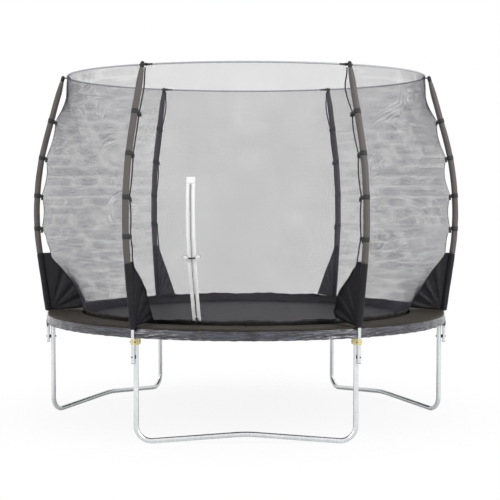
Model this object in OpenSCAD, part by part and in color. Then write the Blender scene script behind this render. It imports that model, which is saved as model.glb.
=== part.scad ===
// Round trampoline with a padded edge, bolted leg units and a net enclosure on curved poles.
// Units are millimetres. The ground is z = 0 and the middle of the trampoline is x = y = 0.
// The door is in the front bay, towards -Y. Angles are counted from the front, anticlockwise.

/* [Top rail and tees] */
// Radius of the top rail, to the middle of its tube
rail_r = 1505; // [1300:5:1800]
// Height of the middle of the top rail
rail_z = 766; // [640:2:920]
// Outside diameter of the rail and leg tubes
tube_d = 36; // [32:1:42]
// Wall of the rail and leg tubes
tube_wall = 1.5; // [1:0.1:2]
// Length of a tee along the rail
tee_len = 100; // [84:2:130]
// Distance from the middle of the rail down to the mouth of a tee
tee_drop = 86; // [80:1:110]
// Wall of a tee
tee_wall = 2.5; // [1.5:0.1:3]
// Gap between the ends of two rail tubes inside a tee
rail_gap = 2; // [1:0.5:6]
// Distance of each tee screw from the middle of its tee
screw_step = 34; // [28:1:38]
// Shank diameter of the tee screws
screw_d = 4.8; // [4:0.2:6]

/* [Legs] */
// Radius of the corner bends, to the middle of the tube
base_bend_r = 105; // [80:5:130]
// How much higher the middle of a base bar is than its corners
base_rise = 45; // [20:1:60]
// Radius of the bend in the middle of a base bar
base_mid_r = 1000; // [500:50:1500]
// Height of the joint between a base and its uprights
leg_joint_z = 200; // [170:5:260]
// Length of the swaged ends that enter the uprights
swage_len = 60; // [40:5:80]

/* [Poles] */
// Outside diameter of the pole tubes
pole_d = 25; // [22:1:28]
// Wall of the pole tubes
pole_wall = 1.5; // [1:0.1:2]
// Distance from the middle of the rail down to a pole's foot
pole_foot_drop = 208; // [190:2:240]
// Distance from the middle of the rail up to the bend of a pole
pole_kink_up = 34; // [30:1:60]
// Radius of that bend
pole_kink_r = 120; // [80:5:200]
// Outward lean of a pole above the bend, in degrees
pole_lean = 8; // [6:0.5:10]
// Length of the straight, leaning stretch
pole_rise_len = 435; // [400:5:500]
// Radius of the long belly curve
pole_belly_r = 2206; // [1800:10:2600]
// Inward lean of a pole at its head, in degrees
pole_head_lean = 15.8; // [13:0.2:18]
// Length of the straight head of a pole
pole_head_len = 469; // [400:5:560]
// Length of the swaged end that joins the two tubes of a pole
pole_plug_len = 60; // [40:5:80]
// Outside diameter of the foam on the poles
foam_d = 40; // [36:1:46]
// Thickness of the fabric sleeve
sleeve_t = 2.4; // [1.5:0.1:3]
// Length that a pole cap covers
cap_cover = 38; // [30:1:50]
// Wall of the pole caps
cap_wall = 1.8; // [1.2:0.1:3]

/* [Clamps] */
// Height of the clamp strap
clamp_h = 40; // [30:1:42]
// Thickness of the clamp's steel
clamp_t = 3; // [2:0.5:4]
// Length of the two ears at the inner side of a clamp
clamp_ear = 22; // [18:1:30]
// Diameter of the bolts in the clamps, and through pole and leg
bolt_d = 6; // [5:0.5:8]
// Distance from the middle of the rail down to the bolt through pole and leg
bolt_drop = 168; // [150:1:180]
// Height of the spacer saddles
saddle_h = 24; // [16:1:36]

/* [Mat and springs] */
// Length of a spring with its hooks
spring_len = 200; // [180:5:230]
// Outside diameter of a spring's coil
spring_d = 22; // [18:1:26]
// Length of the coil
coil_len = 140; // [110:2:160]
// Diameter of the spring wire
wire_d = 3.8; // [3:0.1:4.2]
// Springs in each of the six bays
bay_springs = 10; // [6:1:12]
// Thickness of the mat
mat_t = 2; // [1.5:0.1:3]
// Width of the webbing hem
hem_w = 50; // [44:1:60]
// Thickness of the webbing hem
hem_t = 7; // [6:0.5:9]
// Radius of the rings in the hem, to the middle of the wire
ring_r = 12; // [10:0.5:14]
// Diameter of the wire of those rings
ring_wire = 4; // [3:0.5:5]

/* [Pad] */
// Gap between the net's hems and the pad's inner edge
pad_gap = 1; // [0.5:0.5:15]
// Thickness of the pad
pad_t = 20; // [12:1:30]
// Thickness of the skirt
skirt_t = 2; // [1:0.2:2.4]
// Distance from the middle of the rail down to the skirt's lower edge
skirt_drop = 38; // [20:1:40]

/* [Hoop] */
// Distance of the hoop from the end of a pole, inwards
hoop_in = 44; // [36:1:60]
// Distance of the hoop below the end of a pole
hoop_down = 7; // [0:1:12]
// Diameter of the hoop's rods
rod_d = 10; // [8:0.5:12]
// Length of the ferrules that join the rods
ferrule_len = 110; // [80:5:140]
// Wall of the ferrules
ferrule_wall = 2; // [1.5:0.1:3]

/* [Net] */
// Thickness of the net panels
net_t = 2; // [1.5:0.1:3]
// How far the net's widest radius at the zip lies inside the rail
net_belly_in = 93; // [80:1:110]
// Height of that widest radius above the rail
net_belly_up = 854; // [820:2:900]
// Radius of the net's profile along the zip
net_curve_r = 2100; // [1900:10:2400]
// Distance between the middle of a pole and the middle of the hem cord
hem_reach = 40; // [38:1:46]
// Diameter of the cord in the vertical hems
hem_cord_d = 12; // [8:0.5:13]
// Distance along a pole's lean from the top of the gusset's hem down to its corner
gusset_step = 37; // [30:1:60]
// Thickness of the gusset fabric
gusset_t = 3; // [2:0.5:4]
// Height above the rail of the lower edge of the gussets
gusset_low_up = 84; // [70:2:110]
// Height of the lowest net ties above the rail
tie_1_up = 686; // [640:2:720]
// Height of the second net ties above the rail
tie_2_up = 927; // [880:2:960]
// Height of the third net ties above the rail
tie_3_up = 1219; // [1180:2:1260]
// Height of the top net ties above the rail
tie_4_up = 1504; // [1450:2:1560]
// Width of the net ties
tie_h = 25; // [18:1:36]
// Thickness of the net ties
tie_t = 2; // [1.5:0.1:3]

/* [Door] */
// Direction of the zip, in degrees from the front
zip_a = -15.5; // [-17:0.5:-14]
// Height of the zip's lower end above the rail
zip_low = 66; // [60:1:90]
// Height of the zip's upper end above the rail
zip_high = 1014; // [960:2:1040]
// Width of one zip tape
tape_w = 21; // [16:1:24]
// Width of the zip's chain
chain_w = 9; // [6:0.5:10]
// Thickness of the zip's chain
chain_t = 2; // [1.5:0.1:3]
// Length of the slider
slider_len = 28; // [20:1:36]
// Height of the latch above the rail
latch_up = 516; // [440:2:600]
// Distance of each latch stud from the middle of the zip
latch_step = 44; // [42:1:55]
// Radius of the studs
stud_r = 4; // [3:0.2:5]
// Height of the latch strap's arch above the net
latch_arch = 24; // [23:1:30]

/* [Hidden] */
$fn = 48;
bar_fn = 48;
arc_fn = 240;
bay_count = 6;
bay_a = 360 / bay_count;
half_bay = bay_a / 2;
unit_names = ["front", "right", "left"];
deg_per_rad = 180 / PI;
fit_gap = 0.05;
running_gap = 0.3;
seat_gap = 0.4;
loose_gap = 0.6;
eps = 1;
seam = 0.1;

// Tubes
tube_r = tube_d / 2;
tube_bore = tube_r - tube_wall;
tee_bore = tube_r + running_gap;
tee_r = tee_bore + tee_wall;
stub_bore = tee_bore - 0.05;
stub_r = tee_r - 0.1;
tee_a = tee_len / rail_r * deg_per_rad;
rail_gap_a = rail_gap / rail_r * deg_per_rad;
screw_a = screw_step / rail_r * deg_per_rad;
screw_r = screw_d / 2;
pole_tube_r = pole_d / 2;
pole_bore = pole_tube_r - pole_wall;

// The skirt hangs between the tees and the poles, which sets the poles' place.
skirt_in_r = rail_r + tee_r + 1;
skirt_out_r = skirt_in_r + skirt_t;
pole_r = skirt_out_r + pole_tube_r + 1.7;
pole_foot_z = rail_z - pole_foot_drop;
pole_kink_z = rail_z + pole_kink_up;
foam_r = foam_d / 2;
sleeve_bore = foam_r + running_gap;
sleeve_r = sleeve_bore + sleeve_t;

// Stations of a pole's middle line, as radius and height
kink_end = [pole_r + pole_kink_r * (1 - cos(pole_lean)), pole_kink_z + pole_kink_r * sin(pole_lean)];
rise_dir = [sin(pole_lean), cos(pole_lean)];
rise_out = [cos(pole_lean), -sin(pole_lean)];
rise_end = kink_end + pole_rise_len * rise_dir;
belly_mid = rise_end - pole_belly_r * rise_out;
head_dir = [-sin(pole_head_lean), cos(pole_head_lean)];
head_out = [cos(pole_head_lean), sin(pole_head_lean)];
head_start = belly_mid + pole_belly_r * head_out;
pole_tip = head_start + pole_head_len * head_dir;
foam_low = 6;
foam_high = pole_head_len - cap_cover - seat_gap;
pocket_high = pole_rise_len - 6;
cap_dome = 12;
cap_bore = pole_tube_r + running_gap;
cap_r = cap_bore + cap_wall;

// Hoop
hoop_r = pole_tip[0] - hoop_in;
hoop_z = pole_tip[1] - hoop_down;
rod_r = rod_d / 2;
ferrule_bore = rod_r + running_gap;
ferrule_r = ferrule_bore + ferrule_wall;
ferrule_a = ferrule_len / hoop_r * deg_per_rad;
eye_bore = ferrule_r + running_gap;
eye_r = eye_bore + 3;
eye_len = hem_cord_d;
arm_r = 5;

// Leg bases: the bar's slope follows from its rise, its bends and the distance between the legs.
leg_x = rail_r * sin(half_bay);
unit_y = rail_r * cos(half_bay);
bend_sum = base_mid_r + base_bend_r;
slope_x = leg_x - base_bend_r;
slope_z = bend_sum - base_rise;
base_slope = atan2(slope_x, slope_z) - acos(bend_sum / norm([slope_x, slope_z]));
corner_mid = [leg_x - base_bend_r, tube_r + base_bend_r];
corner_end = corner_mid + base_bend_r * [-sin(base_slope), -cos(base_slope)];
crown_mid = [0, tube_r + base_rise - base_mid_r];
crown_end = crown_mid + base_mid_r * [sin(base_slope), cos(base_slope)];
upright_top = rail_z - tube_r - 2;

// Clamps and bolts
clamp_low = rail_z - tee_drop + 2;
clamp_mid = clamp_low + clamp_h / 2;
clamp_leg_bore = tee_r + running_gap;
clamp_pole_bore = pole_tube_r + running_gap;
clamp_leg_r = clamp_leg_bore + clamp_t;
clamp_pole_r = clamp_pole_bore + clamp_t;
bolt_r = bolt_d / 2;
bolt_hole = bolt_r + 0.2;
bolt_z = rail_z - bolt_drop;
head_r = bolt_d;
head_t = 3;
nut_t = 5;
ear_bolt_x = clamp_leg_r + clamp_ear / 2 - 2;
ear_gap = 8;

// Mat, springs and pad
mat_z = rail_z + 1;
hem_top = mat_z + hem_t / 2;
spring_in_r = rail_r - tube_r - spring_len;
spring_tip_r = rail_r - tube_bore + 3;
coil_in_r = (spring_in_r + rail_r - tube_r - coil_len) / 2;
ring_mid_r = spring_in_r - running_gap - ring_wire / 2 - ring_r;
mat_r = ring_mid_r - ring_r + ring_wire;
pad_z = rail_z + tee_r + loose_gap;

// The net's profile at the zip is an arc, with its middle far behind, so that the slider can turn
// about that middle. Above the zip the profile runs smoothly to the hoop.
net_belly_r = rail_r - net_belly_in;
net_belly_z = rail_z + net_belly_up;
arc_mid_r = net_belly_r - net_curve_r;
net_foot_z = hem_top + seat_gap;
net_head_z = hoop_z - ferrule_r - seat_gap;
arc_high_z = rail_z + zip_high + 70;
function arc_profile(z) = arc_mid_r + sqrt(pow(net_curve_r, 2) - pow(z - net_belly_z, 2));
function head_profile(z) =
    hoop_r + (arc_profile(arc_high_z) - hoop_r) * pow((hoop_z - z) / (hoop_z - arc_high_z), 2);
function zip_profile(z) = z < arc_high_z ? arc_profile(z) : head_profile(z);
net_foot_r = arc_profile(net_foot_z);

// The hem's middle line: straight up the gusset's edge, then parallel to the pole
hem_r = hem_cord_d / 2;
hem_foot = [net_foot_r, net_foot_z + hem_r];
hem_corner = rise_end - gusset_step * rise_dir - hem_reach * rise_out;
hem_belly = rise_end - hem_reach * rise_out;
hem_head = head_start - hem_reach * head_out;
hem_head_len = pole_head_len - eye_r + 4;
function mix(a, b, z) = a[0] + (b[0] - a[0]) * (z - a[1]) / (b[1] - a[1]);
function hem_profile(z) =
    z < hem_corner[1] ? mix(hem_foot, hem_corner, z)
    : z < hem_belly[1] ? mix(hem_corner, hem_belly, z)
    : z < hem_head[1] ? belly_mid[0] + sqrt(pow(pole_belly_r - hem_reach, 2) - pow(z - belly_mid[1], 2))
    : mix(hem_head, hem_head + head_dir, z);

hem_run = hem_corner - hem_foot;
pad_in_r = hem_profile(pad_z + pad_t) + hem_r * norm(hem_run) / hem_run[1] + pad_gap;

// Between two hems the net lies along a chord, so its radius grows with 1 / cos.
function bow(a) = (1 / cos(a) - 1) / (1 / cos(half_bay) - 1);
function net_radius(a, z) =
    zip_profile(z) + (hem_profile(z) - zip_profile(z)) * (bow(a) - bow(zip_a)) / (1 - bow(zip_a));
function net_point(a, z, out) =
    [(net_radius(a, z) + out) * sin(a), -(net_radius(a, z) + out) * cos(a), z];

// Zip and latch
zip_low_z = rail_z + zip_low;
zip_high_z = rail_z + zip_high;
tape_out = net_t / 2 + seat_gap;
tape_t = 1;
tape_in = chain_w / 2 + 4;
chain_out = net_t / 2 + 1.8;
chain_r = net_curve_r + chain_out;
chain_low_a = asin((zip_low_z - net_belly_z) / net_curve_r);
chain_high_a = asin((zip_high_z - net_belly_z) / net_curve_r);
slider_low_a = chain_low_a + (slider_len / 2 + 2) / net_curve_r * deg_per_rad;
slider_w = chain_w + 7;
slider_t = 3.5;
slider_out = chain_t + running_gap;
pin_r = 1.2;
pin_out = slider_out + slider_t + 3.4;
eye_tab_r = 2.8;
tab_w = 9;
tab_len = 16;
tab_t = 1.6;
latch_z = rail_z + latch_up;
latch_r = zip_profile(latch_z);
latch_tip = asin((latch_z - net_belly_z) / net_curve_r);
latch_rise = (hem_profile(latch_z) - latch_r) / (1 - bow(zip_a)) / latch_r;
latch_skew = atan(latch_rise * tan(zip_a) / cos(zip_a) / (1 / cos(half_bay) - 1));
patch_r = 12;
patch_out = net_t / 2 + 1;
patch_t = 1;
latch_foot = patch_out + patch_t + 4;
latch_w = 12;
latch_t = 4;
stud_len = latch_arch + latch_t + 1;

// Places

function pole_angle(i) = (i - 0.5) * bay_a;
function bay_angle(i) = (i - 1) * bay_a;

// Turns a piece drawn with x as radius and z as height to its direction.
module radial(a) {
    rotate([0, 0, a - 90]) children();
}

module at_rz(p) {
    translate([p[0], 0, p[1]]) children();
}

module along_rise(s) {
    at_rz(kink_end + s * rise_dir) rotate([0, pole_lean, 0]) children();
}

module along_head(s) {
    at_rz(head_start + s * head_dir) rotate([0, -pole_head_lean, 0]) children();
}

// A round bar bent in the xz plane about the origin
module bend(r, big_r, from, turn) {
    rotate([90, 0, 0])
        rotate([0, 0, from])
            rotate_extrude(angle = turn, $fn = arc_fn)
                translate([big_r, 0]) circle(r = r, $fn = bar_fn);
}

// A straight round bar between two points of the xz plane
module bar(a, b, r) {
    at_rz(a)
        rotate([0, atan2(b[0] - a[0], b[1] - a[1]), 0])
            cylinder(r = r, h = norm(b - a));
}

// A straight stretch that enters bends at its ends. It is a hair slimmer than they are and runs
// a little way into them, which keeps their union clean.
module stretch(a, b, r, lap_a, lap_b) {
    dir = (b - a) / norm(b - a);
    bar(a - lap_a * dir, b + lap_b * dir, r - seam);
}

// A round bar that follows a level circle, centred on the direction a
module ring_bar(big_r, z, a, w, r) {
    translate([0, 0, z])
        rotate([0, 0, a - 90 - w / 2])
            rotate_extrude(angle = w, $fn = arc_fn)
                translate([big_r, 0]) circle(r = r, $fn = bar_fn);
}

module level_ring(in_r, out_r, z, h) {
    translate([0, 0, z]) difference() {
        cylinder(r = out_r, h = h, $fn = 180);
        translate([0, 0, -eps]) cylinder(r = in_r, h = h + 2 * eps, $fn = 180);
    }
}

module across(x, z, r, len) {
    translate([x, 0, z]) rotate([90, 0, 0]) cylinder(r = r, h = len, center = true);
}

// A cloth-like solid between two grids of points, each a list of rows
module skin(front, back) {
    rows = len(front);
    cols = len(front[0]);
    half = rows * cols;
    function id(r, c) = r * cols + c;
    function strip(a, b) = [[a, b, b + half], [a, b + half, a + half]];
    points = concat([for (row = front) each row], [for (row = back) each row]);
    front_faces = [for (r = [0:rows - 2], c = [0:cols - 2])
        each [[id(r, c), id(r + 1, c), id(r + 1, c + 1)], [id(r, c), id(r + 1, c + 1), id(r, c + 1)]]];
    back_faces = [for (f = front_faces) [f[2] + half, f[1] + half, f[0] + half]];
    side_faces = concat(
        [for (c = [0:cols - 2]) each strip(id(0, c), id(0, c + 1))],
        [for (c = [0:cols - 2]) each strip(id(rows - 1, c + 1), id(rows - 1, c))],
        [for (r = [0:rows - 2]) each strip(id(r + 1, 0), id(r, 0))],
        [for (r = [0:rows - 2]) each strip(id(r, cols - 1), id(r + 1, cols - 1))]);
    polyhedron(points = points, faces = concat(front_faces, back_faces, side_faces), convexity = 6);
}

// Top rail

module spring_hole(a) {
    radial(a)
        translate([rail_r - tube_r - eps, 0, mat_z])
            rotate([0, 90, 0]) cylinder(r = wire_d / 2 + loose_gap, h = tube_wall + 4);
}

module screw_hole(a) {
    radial(a)
        translate([rail_r - tee_r - eps, 0, rail_z])
            rotate([0, 90, 0]) cylinder(r = screw_r + 0.1, h = tee_r);
}

function spring_angle(bay, k) = bay_angle(bay) - half_bay + (k - 0.5) * bay_a / bay_springs;

module frame_rail(i) {
    color("silver") difference() {
        ring_bar(rail_r, rail_z, bay_angle(i), bay_a - rail_gap_a, tube_r);
        ring_bar(rail_r, rail_z, bay_angle(i), bay_a, tube_bore);
        for (k = [1:bay_springs]) spring_hole(spring_angle(i, k));
        for (s = [-1, 1]) screw_hole(bay_angle(i) + s * (half_bay - screw_a));
    }
}

module tee_socket(i) {
    a = pole_angle(i);
    difference() {
        union() {
            ring_bar(rail_r, rail_z, a, tee_a, tee_r);
            radial(a) at_rz([rail_r, rail_z - tee_drop]) cylinder(r = stub_r, h = tee_drop);
        }
        ring_bar(rail_r, rail_z, a, tee_a + 1, tee_bore);
        radial(a) at_rz([rail_r, rail_z - tee_drop - eps]) cylinder(r = stub_bore, h = tee_drop + eps);
        for (s = [-1, 1]) screw_hole(a + s * screw_a);
    }
}

module tee_sockets() {
    color("silver") for (i = [1:bay_count]) tee_socket(i);
}

module tee_screw(a) {
    radial(a) translate([rail_r - tee_r, 0, rail_z]) {
        rotate([0, 90, 0]) cylinder(r = screw_r, h = tee_wall + running_gap + tube_wall + 4);
        rotate([0, -90, 0]) cylinder(r = screw_d, h = 3, $fn = 6);
    }
}

module tee_screws() {
    color("gray") for (i = [1:bay_count], s = [-1, 1]) tee_screw(pole_angle(i) + s * screw_a);
}

// Legs

module base_bar(r, top) {
    for (s = [0, 180]) rotate([0, 0, s]) {
        stretch([leg_x, corner_mid[1]], [leg_x, top], r, eps, 0);
        at_rz(corner_mid) bend(r, base_bend_r, -90 - base_slope, 90 + base_slope);
        stretch(corner_end, crown_end, r, eps, eps);
    }
    at_rz(crown_mid) bend(r, base_mid_r, 90 - base_slope, 2 * base_slope);
}

module leg_base(i) {
    swage_r = tube_bore - running_gap;
    color("silver")
        rotate([0, 0, (i - 1) * 2 * bay_a])
            translate([0, -unit_y, 0])
                difference() {
                    union() {
                        base_bar(tube_r, leg_joint_z);
                        for (s = [-1, 1])
                            bar([s * leg_x, leg_joint_z - eps], [s * leg_x, leg_joint_z + swage_len], swage_r);
                    }
                    base_bar(tube_bore, leg_joint_z - tube_wall);
                    for (s = [-1, 1])
                        bar([s * leg_x, leg_joint_z - tube_wall - eps],
                            [s * leg_x, leg_joint_z + swage_len + eps], swage_r - tube_wall);
                }
}

module bolt_bore(x_from, x_to) {
    translate([x_from, 0, bolt_z]) rotate([0, 90, 0]) cylinder(r = bolt_hole, h = x_to - x_from);
}

module leg_uprights() {
    color("silver") for (i = [1:bay_count]) radial(pole_angle(i)) difference() {
        at_rz([rail_r, leg_joint_z]) cylinder(r = tube_r, h = upright_top - leg_joint_z);
        at_rz([rail_r, leg_joint_z - eps]) cylinder(r = tube_bore, h = upright_top - leg_joint_z + 2 * eps);
        bolt_bore(rail_r - tube_d, rail_r + tube_d);
    }
}

// Poles

module lower_core(r, from, to) {
    stretch([pole_r, from], [pole_r, pole_kink_z], r, 0, eps);
    at_rz([pole_r + pole_kink_r, pole_kink_z]) bend(r, pole_kink_r, 180 - pole_lean, pole_lean);
    stretch(kink_end, kink_end + to * rise_dir, r, eps, 0);
}

module upper_core(r, from, to) {
    stretch(kink_end + from * rise_dir, rise_end, r, 0, eps);
    at_rz(belly_mid) bend(r, pole_belly_r, -pole_lean, pole_lean + pole_head_lean);
    stretch(head_start, head_start + to * head_dir, r, eps, 0);
}

module pole_lower() {
    joint_s = pole_rise_len - pole_plug_len;
    plug_r = pole_bore - running_gap;
    difference() {
        union() {
            lower_core(pole_tube_r, pole_foot_z, joint_s);
            along_rise(joint_s - eps) cylinder(r = plug_r, h = pole_plug_len + eps);
        }
        lower_core(pole_bore, pole_foot_z - eps, joint_s - pole_wall);
        along_rise(joint_s - pole_wall - eps)
            cylinder(r = plug_r - pole_wall, h = pole_plug_len + pole_wall + 2 * eps);
        bolt_bore(pole_r - pole_d, pole_r + pole_d);
        across(pole_r, clamp_mid, bolt_hole, 2 * pole_d);
    }
}

module pole_lower_tubes() {
    color("silver") for (i = [1:bay_count]) radial(pole_angle(i)) pole_lower();
}

module pole_upper(i) {
    joint_s = pole_rise_len - pole_plug_len;
    color("silver") radial(pole_angle(i)) difference() {
        upper_core(pole_tube_r, joint_s, pole_head_len);
        upper_core(pole_bore, joint_s - eps, pole_head_len + eps);
    }
}

module pole_foam() {
    color("dimgray") for (i = [1:bay_count]) radial(pole_angle(i)) difference() {
        upper_core(foam_r, foam_low, foam_high);
        upper_core(pole_tube_r + running_gap, foam_low - eps, foam_high + eps);
    }
}

module pole_sleeves() {
    color([0.36, 0.34, 0.33]) for (i = [1:bay_count]) radial(pole_angle(i)) difference() {
        upper_core(sleeve_r, pocket_high + seat_gap, foam_high);
        upper_core(sleeve_bore, pocket_high + seat_gap - eps, foam_high + eps);
    }
}

module pole_cap() {
    dome_s = pole_head_len + cap_dome - cap_r;
    difference() {
        union() {
            along_head(pole_head_len - cap_cover) cylinder(r = cap_r, h = dome_s - pole_head_len + cap_cover);
            along_head(dome_s) sphere(r = cap_r);
            bar(pole_tip - 4 * head_dir, [hoop_r, hoop_z], arm_r);
            across(hoop_r, hoop_z, eye_r, eye_len);
        }
        along_head(pole_head_len - cap_cover - eps) cylinder(r = cap_bore, h = cap_cover + eps + seat_gap);
        across(hoop_r, hoop_z, eye_bore, eye_len + 2 * eps);
    }
}

module pole_caps() {
    color([0.1, 0.1, 0.1]) for (i = [1:bay_count]) radial(pole_angle(i)) pole_cap();
}

module pole_plugs() {
    color([0.12, 0.12, 0.12]) for (i = [1:bay_count]) radial(pole_angle(i)) {
        at_rz([pole_r, pole_foot_z - 3]) cylinder(r = pole_tube_r, h = 3);
        at_rz([pole_r, pole_foot_z - eps]) cylinder(r = pole_bore - 0.2, h = 14 + eps);
    }
}

// Clamps and bolts

module clamp_outline() {
    gap = pole_r - rail_r;
    lean = acos((clamp_leg_r - clamp_pole_r) / gap);
    side = [cos(lean), sin(lean)];
    translate([rail_r, 0]) circle(r = clamp_leg_r);
    translate([pole_r, 0]) circle(r = clamp_pole_r);
    polygon([
        [rail_r, 0] + clamp_leg_r * side,
        [rail_r, 0] + clamp_leg_r * [side[0], -side[1]],
        [pole_r, 0] + clamp_pole_r * [side[0], -side[1]],
        [pole_r, 0] + clamp_pole_r * side]);
    translate([rail_r - clamp_leg_r - clamp_ear, -ear_gap / 2 - clamp_t])
        square([clamp_leg_r + clamp_ear - clamp_leg_bore + 8, ear_gap + 2 * clamp_t]);
}

// Flat seats for a bolt's head and nut, half_w on either side of the middle
module bolt_seats(x, half_w) {
    for (side = [-1, 1])
        translate([0, side * (half_w + nut_t / 2), 0]) across(x, clamp_mid, head_r + seat_gap, nut_t);
}

module pole_clamp() {
    difference() {
        translate([0, 0, clamp_low]) linear_extrude(height = clamp_h) clamp_outline();
        at_rz([rail_r, clamp_low - eps]) cylinder(r = clamp_leg_bore, h = clamp_h + 2 * eps);
        at_rz([pole_r, clamp_low - eps]) cylinder(r = clamp_pole_bore, h = clamp_h + 2 * eps);
        translate([rail_r - clamp_leg_r - clamp_ear - eps, -ear_gap / 2, clamp_low - eps])
            cube([clamp_ear + clamp_leg_r, ear_gap, clamp_h + 2 * eps]);
        across(rail_r - ear_bolt_x, clamp_mid, bolt_hole, tube_d);
        across(pole_r, clamp_mid, bolt_hole, 2 * pole_d);
        bolt_seats(pole_r, clamp_pole_r);
    }
}

module pole_clamps() {
    color([0.78, 0.7, 0.42]) for (i = [1:bay_count]) radial(pole_angle(i)) pole_clamp();
}

// A bolt through half_w on either side of the middle, its head towards +y and its nut towards -y
module clamp_bolt(x, half_w) {
    across(x, clamp_mid, bolt_r, 2 * (half_w + nut_t + 2));
    translate([x, half_w + head_t, clamp_mid]) rotate([90, 0, 0]) cylinder(r = head_r, h = head_t);
}

module clamp_nut(x, half_w) {
    translate([x, -half_w, clamp_mid]) rotate([90, 0, 0]) difference() {
        cylinder(r = head_r, h = nut_t, $fn = 6);
        translate([0, 0, -eps]) cylinder(r = bolt_r + fit_gap, h = nut_t + 2 * eps);
    }
}

module clamp_bolts() {
    color([0.25, 0.24, 0.22]) for (i = [1:bay_count]) radial(pole_angle(i)) {
        clamp_bolt(rail_r - ear_bolt_x, ear_gap / 2 + clamp_t);
        clamp_bolt(pole_r, clamp_pole_r);
    }
}

module spacer_saddles() {
    leg_side = rail_r + tube_r;
    pole_side = pole_r - pole_tube_r;
    color([0.12, 0.12, 0.12]) for (i = [1:bay_count]) radial(pole_angle(i)) difference() {
        translate([leg_side - 4, -10, bolt_z - saddle_h / 2]) cube([pole_side - leg_side + 8, 20, saddle_h]);
        at_rz([rail_r, bolt_z - saddle_h]) cylinder(r = tube_r + 0.1, h = 2 * saddle_h);
        at_rz([pole_r, bolt_z - saddle_h]) cylinder(r = pole_tube_r + 0.1, h = 2 * saddle_h);
        bolt_bore(rail_r, pole_r);
    }
}

module pole_bolts() {
    nut_x = rail_r - tube_r - nut_t - 2;
    color([0.3, 0.29, 0.27]) for (i = [1:bay_count]) radial(pole_angle(i)) {
        translate([nut_x, 0, bolt_z]) rotate([0, 90, 0]) cylinder(r = bolt_r, h = pole_r + pole_tube_r - nut_x);
        translate([pole_r + pole_tube_r, 0, bolt_z]) rotate([0, 90, 0]) cylinder(r = head_r, h = head_t);
    }
}

module pole_nuts() {
    color([0.3, 0.29, 0.27]) for (i = [1:bay_count]) radial(pole_angle(i)) {
        translate([rail_r - tube_r - nut_t, 0, bolt_z]) rotate([0, 90, 0]) difference() {
            cylinder(r = head_r, h = nut_t, $fn = 6);
            translate([0, 0, -eps]) cylinder(r = bolt_r + fit_gap, h = nut_t + 2 * eps);
        }
        clamp_nut(rail_r - ear_bolt_x, ear_gap / 2 + clamp_t);
        clamp_nut(pole_r, clamp_pole_r);
    }
}

// Mat and springs

// A spring is turned from one outline: its hooks run along the middle and its coil is open at one end.
module spring(a) {
    hook_r = wire_d / 2;
    coil_r = spring_d / 2;
    coil_end_r = coil_in_r + coil_len;
    radial(a) translate([0, 0, mat_z]) rotate([0, 90, 0]) rotate_extrude() polygon([
        [0, spring_in_r],
        [hook_r, spring_in_r],
        [hook_r, coil_in_r],
        [coil_r, coil_in_r],
        [coil_r, coil_end_r],
        [coil_r - wire_d, coil_end_r],
        [coil_r - wire_d, coil_in_r + wire_d],
        [hook_r, coil_in_r + wire_d],
        [hook_r, spring_tip_r],
        [0, spring_tip_r]]);
}

module springs() {
    color("gray") for (i = [1:bay_count], k = [1:bay_springs]) spring(spring_angle(i, k));
}

module mat() {
    color([0.2, 0.2, 0.21])
        translate([0, 0, mat_z - mat_t / 2]) cylinder(r = mat_r - hem_w, h = mat_t, $fn = 180);
}

module mat_hem() {
    color([0.12, 0.12, 0.13]) level_ring(mat_r - hem_w, mat_r, mat_z - hem_t / 2, hem_t);
}

module mat_rings() {
    color("silver") for (i = [1:bay_count], k = [1:bay_springs])
        radial(spring_angle(i, k))
            translate([ring_mid_r, 0, mat_z])
                rotate_extrude() translate([ring_r, 0]) circle(r = ring_wire / 2);
}

// Pad

module spring_pad() {
    color([0.17, 0.16, 0.16]) level_ring(pad_in_r, skirt_out_r, pad_z, pad_t);
}

module pad_skirt() {
    low_z = rail_z - skirt_drop;
    color([0.3, 0.29, 0.31]) level_ring(skirt_in_r, skirt_out_r, low_z, pad_z - low_z);
}

// Net

module gusset(i) {
    edge = hem_r + seat_gap;
    run = (hem_corner - hem_foot) / norm(hem_corner - hem_foot);
    run_out = [run[1], -run[0]];
    low = [mix(hem_foot, hem_corner, rail_z + gusset_low_up), rail_z + gusset_low_up] + edge * run_out;
    corner = hem_corner + edge * (run_out + rise_out) / (1 + run_out * rise_out);
    pocket_foot = kink_end + foam_low * rise_dir;
    pocket_head = kink_end + pocket_high * rise_dir;
    color([0.13, 0.13, 0.14]) radial(pole_angle(i)) difference() {
        union() {
            along_rise(foam_low) cylinder(r = sleeve_r, h = pocket_high - foam_low);
            translate([0, gusset_t / 2, 0]) rotate([90, 0, 0]) linear_extrude(height = gusset_t)
                polygon([
                    low,
                    corner,
                    pocket_head - (hem_reach - edge) * rise_out,
                    pocket_head - (sleeve_r - eps) * rise_out,
                    pocket_foot - (sleeve_r - eps) * rise_out]);
        }
        along_rise(foam_low - eps) cylinder(r = sleeve_bore, h = pocket_high - foam_low + 2 * eps);
    }
}

panel_cols = 12;
panel_rows = 17;

function panel_grid(i, out) = [for (r = [0:panel_rows])
    let(z = net_foot_z + (net_head_z - net_foot_z) * r / panel_rows,
        half_a = half_bay - asin((hem_r + seat_gap) / hem_profile(z)))
    [for (c = [0:panel_cols])
        let(a = half_a * (2 * c / panel_cols - 1), p = net_point(a, z, out), turn = bay_angle(i))
        [p[0] * cos(turn) - p[1] * sin(turn), p[0] * sin(turn) + p[1] * cos(turn), p[2]]]];

module net_panel(i) {
    color([0.45, 0.45, 0.47, 0.6]) skin(panel_grid(i, -net_t / 2), panel_grid(i, net_t / 2));
}

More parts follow.
